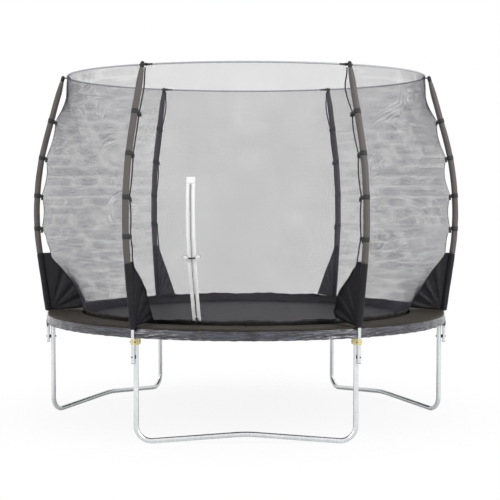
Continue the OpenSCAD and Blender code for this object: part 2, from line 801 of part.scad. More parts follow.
module hem() {
    bar(hem_foot, hem_corner, hem_r);
    at_rz(hem_corner) sphere(r = hem_r + seam);
    stretch(hem_corner, hem_belly, hem_r, 0, eps);
    at_rz(belly_mid) bend(hem_r, pole_belly_r - hem_reach, -pole_lean, pole_lean + pole_head_lean);
    stretch(hem_head, hem_head + hem_head_len * head_dir, hem_r, eps, 0);
}

module net_hems() {
    color([0.1, 0.1, 0.11]) for (i = [1:bay_count]) radial(pole_angle(i)) hem();
}

// The pole's middle line and its inward tilt at a height
function pole_profile(z) =
    z < rise_end[1] ? mix(kink_end, rise_end, z)
    : z < head_start[1] ? belly_mid[0] + sqrt(pow(pole_belly_r, 2) - pow(z - belly_mid[1], 2))
    : mix(head_start, pole_tip, z);
function pole_tilt(z) =
    z < rise_end[1] ? -pole_lean
    : z < head_start[1] ? asin((z - belly_mid[1]) / pole_belly_r)
    : pole_head_lean;

module net_tie(z) {
    tie_bore = sleeve_r + seat_gap;
    lug = hem_reach - hem_r - seat_gap;
    at_rz([pole_profile(z), z]) rotate([0, -pole_tilt(z), 0]) difference() {
        union() {
            cylinder(r = tie_bore + tie_t, h = tie_h, center = true);
            translate([-lug, -hem_r / 2, -tie_h / 2]) cube([lug, hem_r, tie_h]);
        }
        cylinder(r = tie_bore, h = tie_h + 2 * eps, center = true);
    }
}

module net_ties() {
    color([0.08, 0.08, 0.08])
        for (i = [1:bay_count], up = [tie_1_up, tie_2_up, tie_3_up, tie_4_up])
            radial(pole_angle(i)) net_tie(rail_z + up);
}

module hoop_rods() {
    rod_gap_a = rail_gap / hoop_r * deg_per_rad;
    color([0.85, 0.84, 0.8])
        for (i = [1:bay_count]) ring_bar(hoop_r, hoop_z, bay_angle(i), bay_a - rod_gap_a, rod_r);
}

module hoop_ferrules() {
    color([0.1, 0.1, 0.1]) for (i = [1:bay_count]) difference() {
        ring_bar(hoop_r, hoop_z, pole_angle(i), ferrule_a, ferrule_r);
        ring_bar(hoop_r, hoop_z, pole_angle(i), ferrule_a + 1, ferrule_bore);
    }
}

// Door

tape_rows = 16;

// A grid of points on the front panel, from y_low to y_high beside the zip's middle
function door_grid(y_low, y_high, z_low, z_high, rows, cols, out) = [for (r = [0:rows])
    let(z = z_low + (z_high - z_low) * r / rows)
    [for (c = [0:cols])
        let(y = y_low + (y_high - y_low) * c / cols)
        net_point(zip_a + y / zip_profile(z) * deg_per_rad, z, out)]];

module door_cloth(y_low, y_high, z_low, z_high, rows, cols) {
    skin(door_grid(y_low, y_high, z_low, z_high, rows, cols, tape_out),
        door_grid(y_low, y_high, z_low, z_high, rows, cols, tape_out + tape_t));
}

module zip_tapes() {
    color("white") {
        door_cloth(-tape_in - tape_w, -tape_in, zip_low_z, zip_high_z, tape_rows, 2);
        door_cloth(tape_in, tape_in + tape_w, zip_low_z, zip_high_z, tape_rows, 2);
    }
}

module zip_patch() {
    half_w = tape_in + tape_w;
    color("white")
        door_cloth(-half_w, half_w, zip_high_z + seat_gap, zip_high_z + 46, 2, 4);
}

// Places a piece on the zip's arc: x points out of the net and z along the zip.
module on_arc(a) {
    radial(zip_a) at_rz([arc_mid_r, net_belly_z]) rotate([0, -a, 0]) at_rz([chain_r, 0]) children();
}

module zip_chain() {
    color([0.15, 0.15, 0.15]) radial(zip_a) at_rz([arc_mid_r, net_belly_z])
        rotate([90, 0, 0]) rotate([0, 0, chain_low_a]) rotate_extrude(angle = chain_high_a - chain_low_a)
            translate([chain_r, -chain_w / 2]) square([chain_t, chain_w]);
}

module zip_slider() {
    ear_in = tab_w / 2 + loose_gap;
    ear_out = slider_w / 2;
    leg_in = chain_w / 2 + running_gap;
    color([0.2, 0.2, 0.2]) on_arc(slider_low_a) {
        translate([slider_out, -slider_w / 2, -slider_len / 2]) cube([slider_t, slider_w, slider_len]);
        for (s = [-1, 1]) {
            translate([chain_t / 2, s > 0 ? leg_in : -slider_w / 2, -slider_len / 2])
                cube([slider_out, slider_w / 2 - leg_in, slider_len]);
            translate([slider_out, s > 0 ? ear_in : -ear_out, 0])
                cube([pin_out - slider_out, ear_out - ear_in, 2 * eye_tab_r]);
            translate([pin_out, s * (ear_in + ear_out) / 2, eye_tab_r])
                rotate([90, 0, 0]) cylinder(r = eye_tab_r, h = ear_out - ear_in, center = true);
        }
        across(pin_out, eye_tab_r, pin_r, slider_w);
    }
}

module zip_pull() {
    color([0.2, 0.2, 0.2]) on_arc(slider_low_a) at_rz([pin_out, eye_tab_r]) rotate([0, slider_low_a, 0])
        difference() {
            union() {
                across(0, 0, eye_tab_r, tab_w);
                translate([-tab_t / 2, -tab_w / 2, -tab_len]) cube([tab_t, tab_w, tab_len]);
            }
            across(0, 0, pin_r + fit_gap, tab_w + 2 * eps);
        }
}

// Places a piece on the latch's plane: x points out of the net, y across the zip and z up.
module on_latch(y) {
    radial(zip_a) at_rz([latch_r, latch_z])
        rotate([0, -latch_tip, 0]) rotate([0, 0, -latch_skew]) translate([0, y, 0]) children();
}

module latch_patches() {
    color("white") for (s = [-1, 1]) on_latch(s * latch_step)
        translate([patch_out, 0, 0]) rotate([0, 90, 0]) cylinder(r = patch_r, h = patch_t);
}

module latch_studs() {
    color([0.1, 0.1, 0.1]) for (s = [-1, 1]) on_latch(s * latch_step)
        translate([patch_out + patch_t, 0, 0]) rotate([0, 90, 0]) {
            cylinder(r = stud_r, h = stud_len);
            translate([0, 0, stud_len]) cylinder(r = stud_r + 2, h = 2);
        }
}

module latch_strap() {
    top = latch_arch + latch_t;
    color([0.08, 0.08, 0.08]) on_latch(0) difference() {
        union() {
            translate([latch_arch, -latch_step, -latch_w / 2]) cube([latch_t, 2 * latch_step, latch_w]);
            for (s = [-1, 1])
                translate([latch_foot, s * latch_step, 0]) rotate([0, 90, 0])
                    cylinder(r = latch_w / 2, h = top - latch_foot);
        }
        translate([0, -latch_step, 0]) rotate([0, 90, 0]) cylinder(r = stud_r + fit_gap, h = 2 * top);
        translate([0, latch_step, 0]) rotate([0, 90, 0]) cylinder(r = stud_r + seat_gap, h = 2 * top);
        translate([0, latch_step - stud_r - seat_gap, -latch_w])
            cube([2 * top, 2 * (stud_r + seat_gap), latch_w]);
    }
}

for (i = [1:bay_count]) {
    frame_rail(i);
    pole_upper(i);
    gusset(i);
    net_panel(i);
}
for (i = [1:len(unit_names)])
    leg_base(i);
tee_sockets();
tee_screws();
leg_uprights();
pole_lower_tubes();
pole_foam();
pole_sleeves();
pole_caps();
pole_plugs();
pole_clamps();
clamp_bolts();
spacer_saddles();
pole_bolts();
pole_nuts();
springs();
mat();
mat_hem();
mat_rings();
spring_pad();
pad_skirt();
net_hems();
net_ties();
hoop_rods();
hoop_ferrules();
zip_tapes();
zip_chain();
zip_patch();
zip_slider();
zip_pull();
latch_patches();
latch_studs();
latch_strap();
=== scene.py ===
from math import asin, atan, atan2, copysign, cos, degrees, exp, hypot, pi, radians, sin, sqrt, tan

import bpy
from mathutils import Matrix, Vector


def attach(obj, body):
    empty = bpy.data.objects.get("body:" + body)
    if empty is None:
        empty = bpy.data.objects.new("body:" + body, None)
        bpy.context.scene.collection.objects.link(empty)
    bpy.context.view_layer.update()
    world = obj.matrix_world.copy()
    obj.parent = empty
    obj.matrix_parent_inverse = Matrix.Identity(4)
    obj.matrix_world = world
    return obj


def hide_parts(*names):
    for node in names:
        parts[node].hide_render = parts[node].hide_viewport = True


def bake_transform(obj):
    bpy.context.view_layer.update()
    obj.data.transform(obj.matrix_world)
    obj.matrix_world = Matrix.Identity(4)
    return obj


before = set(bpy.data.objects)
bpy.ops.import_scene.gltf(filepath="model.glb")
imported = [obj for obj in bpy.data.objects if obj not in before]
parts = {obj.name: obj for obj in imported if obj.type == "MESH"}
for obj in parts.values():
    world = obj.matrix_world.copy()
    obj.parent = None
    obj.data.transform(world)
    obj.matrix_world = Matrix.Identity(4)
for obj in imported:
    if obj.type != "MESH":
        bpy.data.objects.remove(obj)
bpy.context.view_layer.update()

# Camera
# It stands level with the middle of the net, square to the door's bay, and looks slightly down.
# A long lens keeps the poles upright.
camera = bpy.data.objects.new("camera", bpy.data.cameras.new("camera"))
bpy.context.scene.collection.objects.link(camera)
camera.location = (0.0, -10.517, 1.7435)
camera.rotation_euler = (radians(87.4), 0.0, 0.0)
camera.data.sensor_width = 36.0
camera.data.lens = 97.37
camera.data.shift_x = 0.0079
camera.data.shift_y = 0.001
bpy.context.scene.camera = camera

# Rails, tees, leg bases, uprights and pole tubes
# Round steel tube, bent cold and dipped in zinc, so that crystals of zinc show as faint flakes
# under a soft shine. The rails push into tees, and the legs bolt up under them.


class Signal:
    """A node's output. Arithmetic on it adds Math nodes to its finish."""

    def __init__(self, finish, socket):
        self.finish = finish
        self.socket = socket

    def math(self, operation, *others):
        values = dict(enumerate((self, *others)))
        return self.finish.node("ShaderNodeMath", 0, {"operation": operation}, values)

    def __add__(self, other):
        return self.math("ADD", other)

    def __mul__(self, other):
        return self.math("MULTIPLY", other)

    def __rsub__(self, other):
        return self.finish.node("ShaderNodeMath", 0, {"operation": "SUBTRACT"}, {0: other, 1: self})


class Finish:
    """A material, built node by node."""

    def __init__(self, name):
        self.material = bpy.data.materials.new(name)
        self.material.use_nodes = True
        self.nodes = self.material.node_tree.nodes
        self.links = self.material.node_tree.links
        self.shader = self.nodes["Principled BSDF"]

    def feed(self, socket, value):
        if isinstance(value, Signal):
            self.links.new(value.socket, socket)
        else:
            socket.default_value = value

    def node(self, kind, output, settings=None, values=None):
        made = self.nodes.new(kind)
        for name, value in (settings or {}).items():
            setattr(made, name, value)
        for name, value in (values or {}).items():
            self.feed(made.inputs[name], value)
        return Signal(self, made.outputs[output])

    def place(self):
        return self.node("ShaderNodeTexCoord", "Object")

    def axes(self, where):
        """The x and the y of a place."""
        return [self.node("ShaderNodeSeparateXYZ", axis, {}, {0: where}) for axis in "XY"]

    def noise(self, where, scale, detail=3.0, rough=0.5, twist=0.0):
        values = {"Vector": where, "Scale": scale, "Detail": detail, "Roughness": rough,
                  "Distortion": twist}
        return self.node("ShaderNodeTexNoise", "Fac", {}, values)

    def ramp(self, value, low, high, start=0.0, end=1.0, kind="LINEAR"):
        """Runs from start, where the value is low, to end, where it is high."""
        settings = {"interpolation_type": kind, "clamp": True}
        values = {0: value, 1: low, 2: high, 3: start, 4: end}
        return self.node("ShaderNodeMapRange", 0, settings, values)

    def mix(self, factor, first, second):
        """A colour between two, each given as red, green and blue."""
        values = {0: factor, 6: (*first, 1), 7: (*second, 1)}
        return self.node("ShaderNodeMix", 2, {"data_type": "RGBA"}, values)

    def bump(self, height, strength, distance):
        values = {"Height": height, "Strength": strength, "Distance": distance}
        self.feed(self.shader.inputs["Normal"], self.node("ShaderNodeBump", "Normal", {}, values))

    def set(self, **values):
        for name, value in values.items():
            self.feed(self.shader.inputs[name.replace("_", " ")], value)

    def paint(self, tone, dark, pale, rough, **others):
        """A base that runs from dark to pale with tone, and how rough it is."""
        self.set(Base_Color=self.mix(tone, dark, pale), Roughness=rough, **others)

    def dress(self, *names):
        for name in names:
            parts[name].data.materials.clear()
            parts[name].data.materials.append(self.material)


def zinc(name, dull, bright, rough, flake):
    metal = Finish(name)
    place = metal.place()
    cells = {"Vector": place, "Scale": flake}
    crystal = metal.node("ShaderNodeTexVoronoi", "Color", {"feature": "F1"}, cells)
    crystal = metal.node("ShaderNodeSeparateColor", "Red", {}, {"Color": crystal})
    cloud = metal.noise(place, 7.0, 4.0)
    tone = crystal * 0.3 + cloud * 0.7
    scratch = metal.noise(place, 180.0, 2.0)
    metal.paint(tone, dull, bright, tone * 0.14 + scratch * 0.06 + rough, Metallic=1.0)
    metal.bump(crystal * 0.5 + scratch * 0.5, 0.12, 0.0003)
    return metal


galvanised = zinc("galvanised_tube_finish", (0.60, 0.61, 0.62), (0.86, 0.87, 0.88), 0.24, 120.0)
galvanised.dress("tee_sockets", "leg_base_front", "leg_base_right", "leg_base_left", "leg_uprights",
                 "pole_lower_tubes", *[f"frame_rail_{i}" for i in range(1, 7)],
                 *[f"pole_upper_{i}" for i in range(1, 7)])

# Clamps
# Pressed steel straps that wrap each leg and pole under the rail, plated yellow. The plating is
# uneven and turns greener in the corners.
clamp_plate = zinc("yellow_zinc_finish", (0.56, 0.46, 0.20), (0.82, 0.76, 0.46), 0.30, 60.0)
clamp_plate.dress("pole_clamps")

# Screws, bolts and nuts
# Machine-made steel fasteners with a dark grey plating, worn brighter on the corners of the heads.
bolt_plate = zinc("dark_zinc_finish", (0.08, 0.08, 0.08), (0.24, 0.23, 0.22), 0.38, 260.0)
bolt_plate.dress("tee_screws", "clamp_bolts", "pole_bolts", "pole_nuts")

# Spacer saddles, pole plugs and pole caps
# Black moulded plastic with a fine pitted skin. The saddles keep each pole off its leg, the plugs
# close the feet of the poles, and the caps hold the hoop.
plastic = Finish("black_plastic_finish")
place = plastic.place()
pits = plastic.noise(place, 900.0, 2.0)
smear = plastic.noise(place, 30.0, 3.0)
plastic.paint(smear, (0.012, 0.012, 0.013), (0.03, 0.03, 0.032), smear * 0.2 + 0.42,
              Specular_IOR_Level=0.25)
plastic.bump(pits, 0.3, 0.0002)
plastic.dress("spacer_saddles", "pole_plugs", "pole_caps")

# Jumping mat
# One disc of woven black polypropylene, stretched tight by the springs. Its weave runs in two
# directions, and a few soft wrinkles stay in it near the rim.


def settle(piece, body, finish, replaced=()):
    """Gives a finished piece its material and the body that it rides on."""
    piece.data.materials.clear()
    piece.data.materials.append(finish.material)
    if replaced:
        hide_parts(*replaced)
    if body:
        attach(piece, body)
    return piece


def lay(name, columns, rows, place, size, closed=False):
    """A cloth of columns by rows, laid by place(u, v), with a map in metres.

    closed sews the edges that meet."""
    bpy.ops.object.select_all(action="DESELECT")
    bpy.ops.mesh.primitive_grid_add(x_subdivisions=columns, y_subdivisions=rows, size=1)
    cloth = bpy.context.object
    cloth.name = name
    cloth.data.name = name
    for corner in cloth.data.uv_layers.active.data:
        corner.uv = (corner.uv.x * size[0], corner.uv.y * size[1])
    for vertex in cloth.data.vertices:
        vertex.co = place(vertex.co.x + 0.5, vertex.co.y + 0.5)
    if closed:
        bpy.ops.object.mode_set(mode="EDIT")
        bpy.ops.mesh.select_all(action="SELECT")
        bpy.ops.mesh.remove_doubles(threshold=0.00002)
        bpy.ops.object.mode_set(mode="OBJECT")
    bpy.ops.object.shade_smooth()
    return cloth


def pick(*pieces):
    """Selects these pieces and no others, with the first one active."""
    bpy.ops.object.select_all(action="DESELECT")
    for piece in pieces:
        piece.select_set(True)
    bpy.context.view_layer.objects.active = pieces[0]


def joined(*pieces):
    """Makes one object of these pieces, under the name of the first."""
    pick(*pieces)
    bpy.ops.object.join()
    return bpy.context.object


def thicken(cloth, thickness, offset=0.0):
    """Gives a cloth its thickness. offset 1 adds it outwards."""
    solid = cloth.modifiers.new("thickness", "SOLIDIFY")
    solid.thickness = thickness
    solid.offset = offset
    solid.use_even_offset = False
    pick(cloth)
    bpy.ops.object.modifier_apply(modifier="thickness")
    return cloth


def crossing(threads, turn):
    """The height of a plain weave, from 0 to 1, where two ways of threads cross."""
    across, along = threads
    return (across * turn).math("SINE") * (along * turn).math("SINE") * 0.5 + 0.5


def weave(finish, pitch):
    """A plain weave on the piece's map."""
    cloth_map = finish.node("ShaderNodeTexCoord", "UV")
    return crossing(finish.axes(cloth_map), 2 * pi / pitch)


def smooth(low, high, value):
    """0 below low, 1 above high, and a smooth step between."""
    share = min(1.0, max(0.0, (value - low) / (high - low)))
    return share * share * (3 - 2 * share)


def spot(direction, radius, height, aside=0.0):
    """A point at a direction in degrees, a radius and a height, moved aside along the round."""
    a = radians(direction)
    x = radius * sin(a) + aside * cos(a)
    y = aside * sin(a) - radius * cos(a)
    return Vector((x, y, height))


mat_edge, mat_height = 1.2147, 0.767


def mat_place(u, v):
    angle, radius = 360 * u, mat_edge * v
    wrinkle = sin(radians(angle * 23)) * sin(radians(angle * 7) + 9 * v)
    height = mat_height - 0.0008 * (1 - v * v) + 0.0011 * wrinkle * smooth(0.55, 1.0, v)
    return spot(angle, radius, height)


jump_cloth = lay("jumping_cloth", 240, 30, mat_place, (2 * pi * mat_edge, mat_edge), closed=True)
thicken(jump_cloth, 0.0018)
mat_finish = Finish("mat_fabric_finish")
place = mat_finish.place()
mat_weave = crossing(mat_finish.axes(place), 1900.0)
wear = mat_finish.noise(place, 2.2, 4.0)
dust = mat_finish.noise(place, 34.0, 4.0)
mat_tone = wear * 0.6 + mat_weave * 0.2 + dust * 0.2
mat_finish.paint(mat_tone, (0.024, 0.022, 0.027), (0.047, 0.044, 0.051), wear * 0.15 + 0.55,
                 Specular_IOR_Level=0.3)
folds = mat_finish.noise(place, 3.0, twist=1.2)
mat_finish.bump(mat_weave * 0.03 + folds, 0.5, 0.012)
settle(jump_cloth, "jump_mat", mat_finish, ("mat",))

# Mat hem and ring loops
# Several layers of black polyester webbing, sewn round the rim of the mat in two rows. A folded
# loop of the same webbing holds each steel ring.
hem_r, hem_half, hem_thick, stitch_rows = 1.2397, 0.025, 0.0034, (1.2215, 1.2585)


def squared(share, power):
    """Squares off a sine or a cosine: a low power makes the section of a piece boxier."""
    return copysign(abs(share) ** power, share)


def hem_place(u, v):
    angle, turn = 360 * u, 2 * pi * v
    radius = hem_r + hem_half * squared(cos(turn), 0.35)
    dent = 0.0007 * smooth(0.0022, 0.0, min(abs(radius - row) for row in stitch_rows))
    return spot(-angle, radius, mat_height + (hem_thick - dent) * squared(sin(turn), 0.6))


webbing = Finish("black_webbing_finish")
web_weave = weave(webbing, 0.0022)
place = webbing.place()
fade = webbing.noise(place, 14.0, 3.0)
webbing.paint(web_weave * 0.5 + fade * 0.5, (0.010, 0.010, 0.011), (0.034, 0.033, 0.035),
              fade * 0.2 + 0.58)
webbing.bump(web_weave, 0.5, 0.0006)
rim_webbing = lay("mat_hem_webbing", 360, 20, hem_place, (7.8, 0.116), closed=True)


def block(size, bevel, segments):
    """A small block with bevelled edges, to be repeated."""
    bpy.ops.object.select_all(action="DESELECT")
    bpy.ops.mesh.primitive_cube_add(size=1, location=(0, 0, 0))
    made = bpy.context.object
    for vertex in made.data.vertices:
        vertex.co = (vertex.co.x * size[0], vertex.co.y * size[1], vertex.co.z * size[2])
    bpy.ops.object.mode_set(mode="EDIT")
    bpy.ops.mesh.select_all(action="SELECT")
    bpy.ops.mesh.bevel(offset=bevel, segments=segments, affect="EDGES")
    bpy.ops.object.mode_set(mode="OBJECT")
    return made


def repeat(model, name, places):
    """One object made of copies of a small model, each under its own placing matrix."""
    copies = []
    for put in places:
        copy = model.copy()
        copy.data = model.data.copy()
        copy.data.transform(put)
        bpy.context.scene.collection.objects.link(copy)
        copies.append(copy)
    row = joined(*copies)
    row.name = name
    row.data.name = name
    return row


def at_mat(direction, radius=0.0):
    """The matrix that turns a model drawn along +X to a direction, at the height of the mat."""
    turn = Matrix.Rotation(radians(direction - 90), 4, "Z")
    return turn @ Matrix.Translation((radius, 0, mat_height))


loop = block((0.024, 0.022, 0.0088), 0.0018, 2)
ring_loops = repeat(loop, "ring_loops", [at_mat(6 * k + 3, 1.2510) for k in range(60)])
bpy.data.objects.remove(loop)
settle(rim_webbing, "jump_mat", webbing, ("mat_hem",))
settle(ring_loops, "jump_mat", webbing)

# Rings and springs
# Round rings and hook-ended coil springs of bright zinc-plated spring wire. Each spring is pulled
# open between a ring in the mat's rim and a hole in the rail.
spring_wire = zinc("spring_steel_finish", (0.46, 0.46, 0.47), (0.70, 0.70, 0.71), 0.22, 300.0)
spring_wire.dress("mat_rings")
coil_turns = 16
coil_r, hook_r, wire_r = 0.0091, 0.0043, 0.0019
hook_middle, coil_start, coil_end, hook_length = 1.2847, 1.289, 1.457, 0.033
hook_share, tail_share = 0.10, 0.94


def spring_line(share):
    """The wire's middle line along a spring that lies along +X at the height of the mat."""
    if share < hook_share:
        turn = (1.5 * share / hook_share - 0.5) * pi
        return Vector((hook_middle - hook_r * cos(turn), 0, hook_r * sin(turn)))
    if share > tail_share:
        tail = (share - tail_share) / (1 - tail_share)
        return Vector((coil_end + tail * hook_length, 0, 0))
    along = (share - hook_share) / (tail_share - hook_share)
    swell = coil_r * smooth(0.0, 0.05, along) * smooth(1.0, 0.95, along)
    turn = 2 * pi * coil_turns * along
    start = coil_start + smooth(0.0, 0.06, along) * 0.028
    reach = start + along * (coil_end - start)
    return Vector((reach, swell * cos(turn), swell * sin(turn)))


def wire_place(line, thick):
    """Lays a round wire along a line of points from 0 to 1."""
    def place(u, v):
        ahead = line(min(1.0, v + 0.0008)) - line(max(0.0, v - 0.0008))
        ahead = ahead.normalized() if ahead.length > 0 else Vector((1, 0, 0))
        side = ahead.cross(Vector((0.13, 0.21, 0.97))).normalized()
        lift = side.cross(ahead)
        turn = 2 * pi * u
        return line(v) + thick * (cos(turn) * side - sin(turn) * lift)
    return place


wire = lay("spring_model", 5, 200, wire_place(spring_line, wire_r), (0.012, 1.1), closed=True)
for k in range(12):
    middle = 30 * k + 15
    steps = (-12, -6, 0, 6, 12)
    group = repeat(wire, f"spring_coils_{k + 1}", [at_mat(middle + step) for step in steps])
    settle(group, None, spring_wire, ("springs",) if k == 0 else ())
    spot(middle, 1.454, mat_height)
    spot(middle, 1.287, mat_height)
    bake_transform(group)
bpy.data.objects.remove(wire)

# Spring pad
# A ring of closed-cell foam in a coated polyester cover. It is sewn from twelve lengths, whose
# seams pinch it, and it lies over the springs with its outer edge on the tees.
pad_in, pad_out, pad_low, pad_high = 1.2640, 1.5286, 0.7875, 0.8092


def pad_place(u, v):
    angle, turn = 360 * u, 2 * pi * v
    from_seam = abs((angle + 15) % 30 - 15) * radians(1) * 1.4
    pinch = exp(-(from_seam / 0.016) ** 2)
    pucker = exp(-from_seam / 0.10) * sin(from_seam * 95)
    flat, high = squared(cos(turn), 0.32), squared(sin(turn), 0.45)
    half = (pad_out - pad_in) / 2 * (1 - 0.006 * pinch)
    radius = (pad_out + pad_in) / 2 + half * flat
    crown = 1 - 0.10 * flat * flat
    drape = sin(radians(angle * 41)) * sin(radians(angle * 11) + 30 * radius)
    middle, thick = (pad_low + pad_high) / 2, (pad_high - pad_low) / 2
    height = middle + thick * high
    if high > 0:
        height = middle + thick * high * crown * (1 - 0.40 * pinch)
        height += 0.0012 * (pucker + drape) * high
    return spot(-angle, radius, height)


pad = lay("spring_pad_cover", 420, 30, pad_place, (8.77, 0.57), closed=True)
pad_finish = Finish("pad_cover_finish")
place = pad_finish.place()
pad_weave = weave(pad_finish, 0.0014)
stain = pad_finish.noise(place, 5.0, 4.0)
crease = pad_finish.noise(place, 16.0, 4.0, twist=1.6)
pad_finish.paint(stain, (0.022, 0.018, 0.014), (0.046, 0.038, 0.029), crease * 0.22 + 0.50,
                 Specular_IOR_Level=0.16)
pad_finish.bump(crease + pad_weave * 0.02, 0.5, 0.008)
settle(pad, "frame", pad_finish, ("spring_pad",))

# Pad apron
# A narrow strip of the pad's own cover, sewn along its inner edge. It hangs down to the mat's hem
# and hides the springs.
apron_r, apron_foot, apron_drop = 1.2576, 0.7724, 0.0288


def apron_place(u, v):
    sway = 0.0006 * sin(2 * pi * 31 * u) * sin(2 * pi * 12 * u)
    radius = apron_r + 0.0018 * v + 0.0052 * smooth(0.75, 1.0, v) + sway * (1 - v)
    return spot(-360 * u, radius, apron_foot + apron_drop * v)


apron = lay("pad_apron", 360, 5, apron_place, (7.92, 0.032), closed=True)
settle(apron, "frame", pad_finish)

# Skirt
# Six flaps of thin grey polyester, sewn under the pad's outer edge. They hang over the rail, and
# their ends spread round the poles and clamps.
skirt_finish = Finish("skirt_fabric_finish")
place = skirt_finish.place()
skirt_weave = weave(skirt_finish, 0.0012)
skirt_map = skirt_finish.node("ShaderNodeTexCoord", "UV")
stretched = {"Vector": skirt_map, "Scale": (5.0, 60.0, 1.0)}
pleats = skirt_finish.noise(skirt_finish.node("ShaderNodeMapping", "Vector", {}, stretched), 1.0,
                            twist=1.8)
# The pale bluish streaks along the pleats are painted highlights: the base colour turns pale where
# the pleats rise, in place of light caught by the crinkled cloth.
painted_crease_highlight = skirt_finish.ramp(pleats, 0.42, 0.68)
skirt_crease = skirt_finish.noise(place, 9.0, 1.0, twist=1.5)
skirt_finish.paint(painted_crease_highlight, (0.008, 0.008, 0.013), (0.105, 0.105, 0.145), 0.24 - painted_crease_highlight * 0.10,
                   Specular_IOR_Level=0.75)
skirt_finish.bump(pleats + skirt_crease * 0.6 + skirt_weave * 0.001, 0.6, 0.008)
skirt_top, skirt_foot, skirt_radius = 0.7925, 0.7285, 1.5290
skirt_span, skirt_end, skirt_end_r = 59.4, 29.85, 1.5292
side_ends = {(2, 1): 1.0, (6, -1): 1.0, (3, -1): 0.4, (5, 1): 0.4}


def bay_at(bay):
    """The direction of a bay's middle."""
    return 60 * (bay - 1)


def pole_at(pole):
    """The direction of a pole, which stands at the end of its bay."""
    return 60 * pole - 30


def skirt_place(bay):
    """A flap, whose ends in side_ends spread wider and hang lower."""
    def place(u, v):
        a, drop = skirt_span * (u - 0.5), 1 - v
        rest = skirt_end_r * radians(skirt_end - abs(a))
        wide = side_ends.get((bay, -1 if a < 0 else 1), 0.0)
        flare = smooth(0.150, 0.012, rest) * (0.010 + 0.012 * wide) * smooth(0.0, 0.45, drop)
        low = skirt_foot - 0.056 * wide * smooth(0.120, 0.030, rest)
        low += 0.0015 * sin(a * 1.9 + bay) * sin(a * 0.53)
        wave = 0.0022 * sin(a * 1.3 + 2 * bay) * sin(a * 0.47 + bay)
        crinkle = sin(13 * drop + 2.4 * sin(a * 0.31 + bay) + a * 0.12)
        crinkle *= sin(a * 0.53 + 3 * drop + 3 * bay)
        wave += 0.0042 * crinkle * smooth(0.0, 0.25, drop)
        radius = skirt_radius + flare + (wave + 0.0015) * smooth(0.1, 1.0, drop)
        return spot(bay_at(bay) + a, radius, skirt_top + (low - skirt_top) * drop)
    return place


for bay in range(1, 7):
    flap = lay(f"skirt_flap_{bay}", 160, 18, skirt_place(bay), (1.60, 0.065))
    thicken(flap, 0.0009)
    settle(flap, "frame", skirt_finish, ("pad_skirt",) if bay == 1 else ())

# Pole sleeves
# Each upper pole wears a tube of foam in a tight grey-brown fabric sleeve. The sleeve bulges
# between the ties, slims towards the cap, and has one seam along its inner side.
tie_heights = {1: (1.405, 1.690, 1.985, 2.270), 2: (1.438, 1.693, 1.985, 2.270),
               3: (1.425, 1.693, 1.985, 2.270), 4: (1.440, 1.693, 1.985, 2.270),
               5: (1.438, 1.693, 1.985, 2.270), 6: (1.425, 1.690, 1.985, 2.270)}
foot_r, foot_bend, bend_low, bend_high = 1.543, 0.12, 0.800, 0.8167
arc_middle, arc_height, pole_arc, hem_arc = -0.579823, 1.55448, 2.206, 2.166
arc_low, arc_high, bend_high_r, arc_high_r = 1.24747, 2.15513, 1.54417, 1.54283
lean_out, lean_in = radians(8), radians(15.8)
sleeve_low, sleeve_length, sleeve_r, sleeve_mouth_r = 1.2380, 1.3310, 0.0229, 0.0130


def pole_line(height):
    """The radius of a pole's middle line at a height."""
    if height < bend_low:
        return foot_r
    if height < bend_high:
        return foot_r + foot_bend - sqrt(foot_bend ** 2 - (height - bend_low) ** 2)
    if height < arc_low:
        return bend_high_r + (height - bend_high) * tan(lean_out)
    if height < arc_high:
        return arc_middle + sqrt(pole_arc ** 2 - (height - arc_height) ** 2)
    return arc_high_r - (height - arc_high) * tan(lean_in)


def pole_tilt(height):
    """A pole's inward tilt at a height, in radians."""
    if height < bend_low:
        return 0.0
    if height < bend_high:
        return -asin((height - bend_low) / foot_bend)
    if height < arc_low:
        return -lean_out
    if height < arc_high:
        return asin((height - arc_height) / pole_arc)
    return lean_in


def leaned(pole, radius, height, tilt, out, up, aside):
    """A point out from, up along and beside a line at a pole that leans inwards by tilt."""
    radius += out * cos(tilt) - up * sin(tilt)
    height += out * sin(tilt) + up * cos(tilt)
    return spot(pole_at(pole), radius, height, aside)


def round_pole(pole, height, thick, turn):
    """A point on a round piece about a pole, turned from its outer side."""
    return leaned(pole, pole_line(height), height, pole_tilt(height),
                  thick * cos(turn), 0.0, thick * sin(turn))


def sleeve_place(pole):
    def place(u, v):
        height = sleeve_low + sleeve_length * v
        turn = 2 * pi * u
        squeeze = max(exp(-((height - tie) / 0.016) ** 2) for tie in tie_heights[pole])
        slim = 1 - 0.03 * smooth(1.9, 2.4, height) - 0.26 * smooth(2.47, 2.57, height)
        folds = 0.0005 * sin(7 * turn + 9 * height * (1 + 0.1 * pole))
        folds += 0.0004 * sin(3 * turn - 31 * height)
        seam = 0.0006 * exp(-((turn - pi) / 0.12) ** 2)
        thick = sleeve_r * slim * (1 - 0.05 * squeeze) + folds + seam
        rim = (smooth(0.0, 0.006, v) * smooth(1.0, 0.994, v)) ** 0.4
        return round_pole(pole, height, sleeve_mouth_r + (thick - sleeve_mouth_r) * rim, turn)
    return place


sleeve_finish = Finish("sleeve_fabric_finish")
place = sleeve_finish.place()
sleeve_weave = weave(sleeve_finish, 0.0016)
soft_tone = sleeve_finish.noise(place, 9.0, 4.0)
sleeve_finish.paint(soft_tone * 0.75 + sleeve_weave * 0.25, (0.072, 0.064, 0.063),
                    (0.138, 0.123, 0.120), soft_tone * 0.15 + 0.62)
sleeve_finish.bump(sleeve_weave * 0.25 + soft_tone, 0.45, 0.0016)
for pole in range(1, 7):
    sleeve = lay(f"pole_sleeve_{pole}", 32, 130, sleeve_place(pole), (0.14, 1.34), closed=True)
    settle(sleeve, "frame", sleeve_finish,
           ("pole_sleeves", "pole_foam") if pole == 1 else ())

# Gussets
# A pocket of near-black coated fabric round the foot of each pole, with a doubled triangular flap
# that reaches inwards to the net's edge. Creases run out from the foot of the pole.

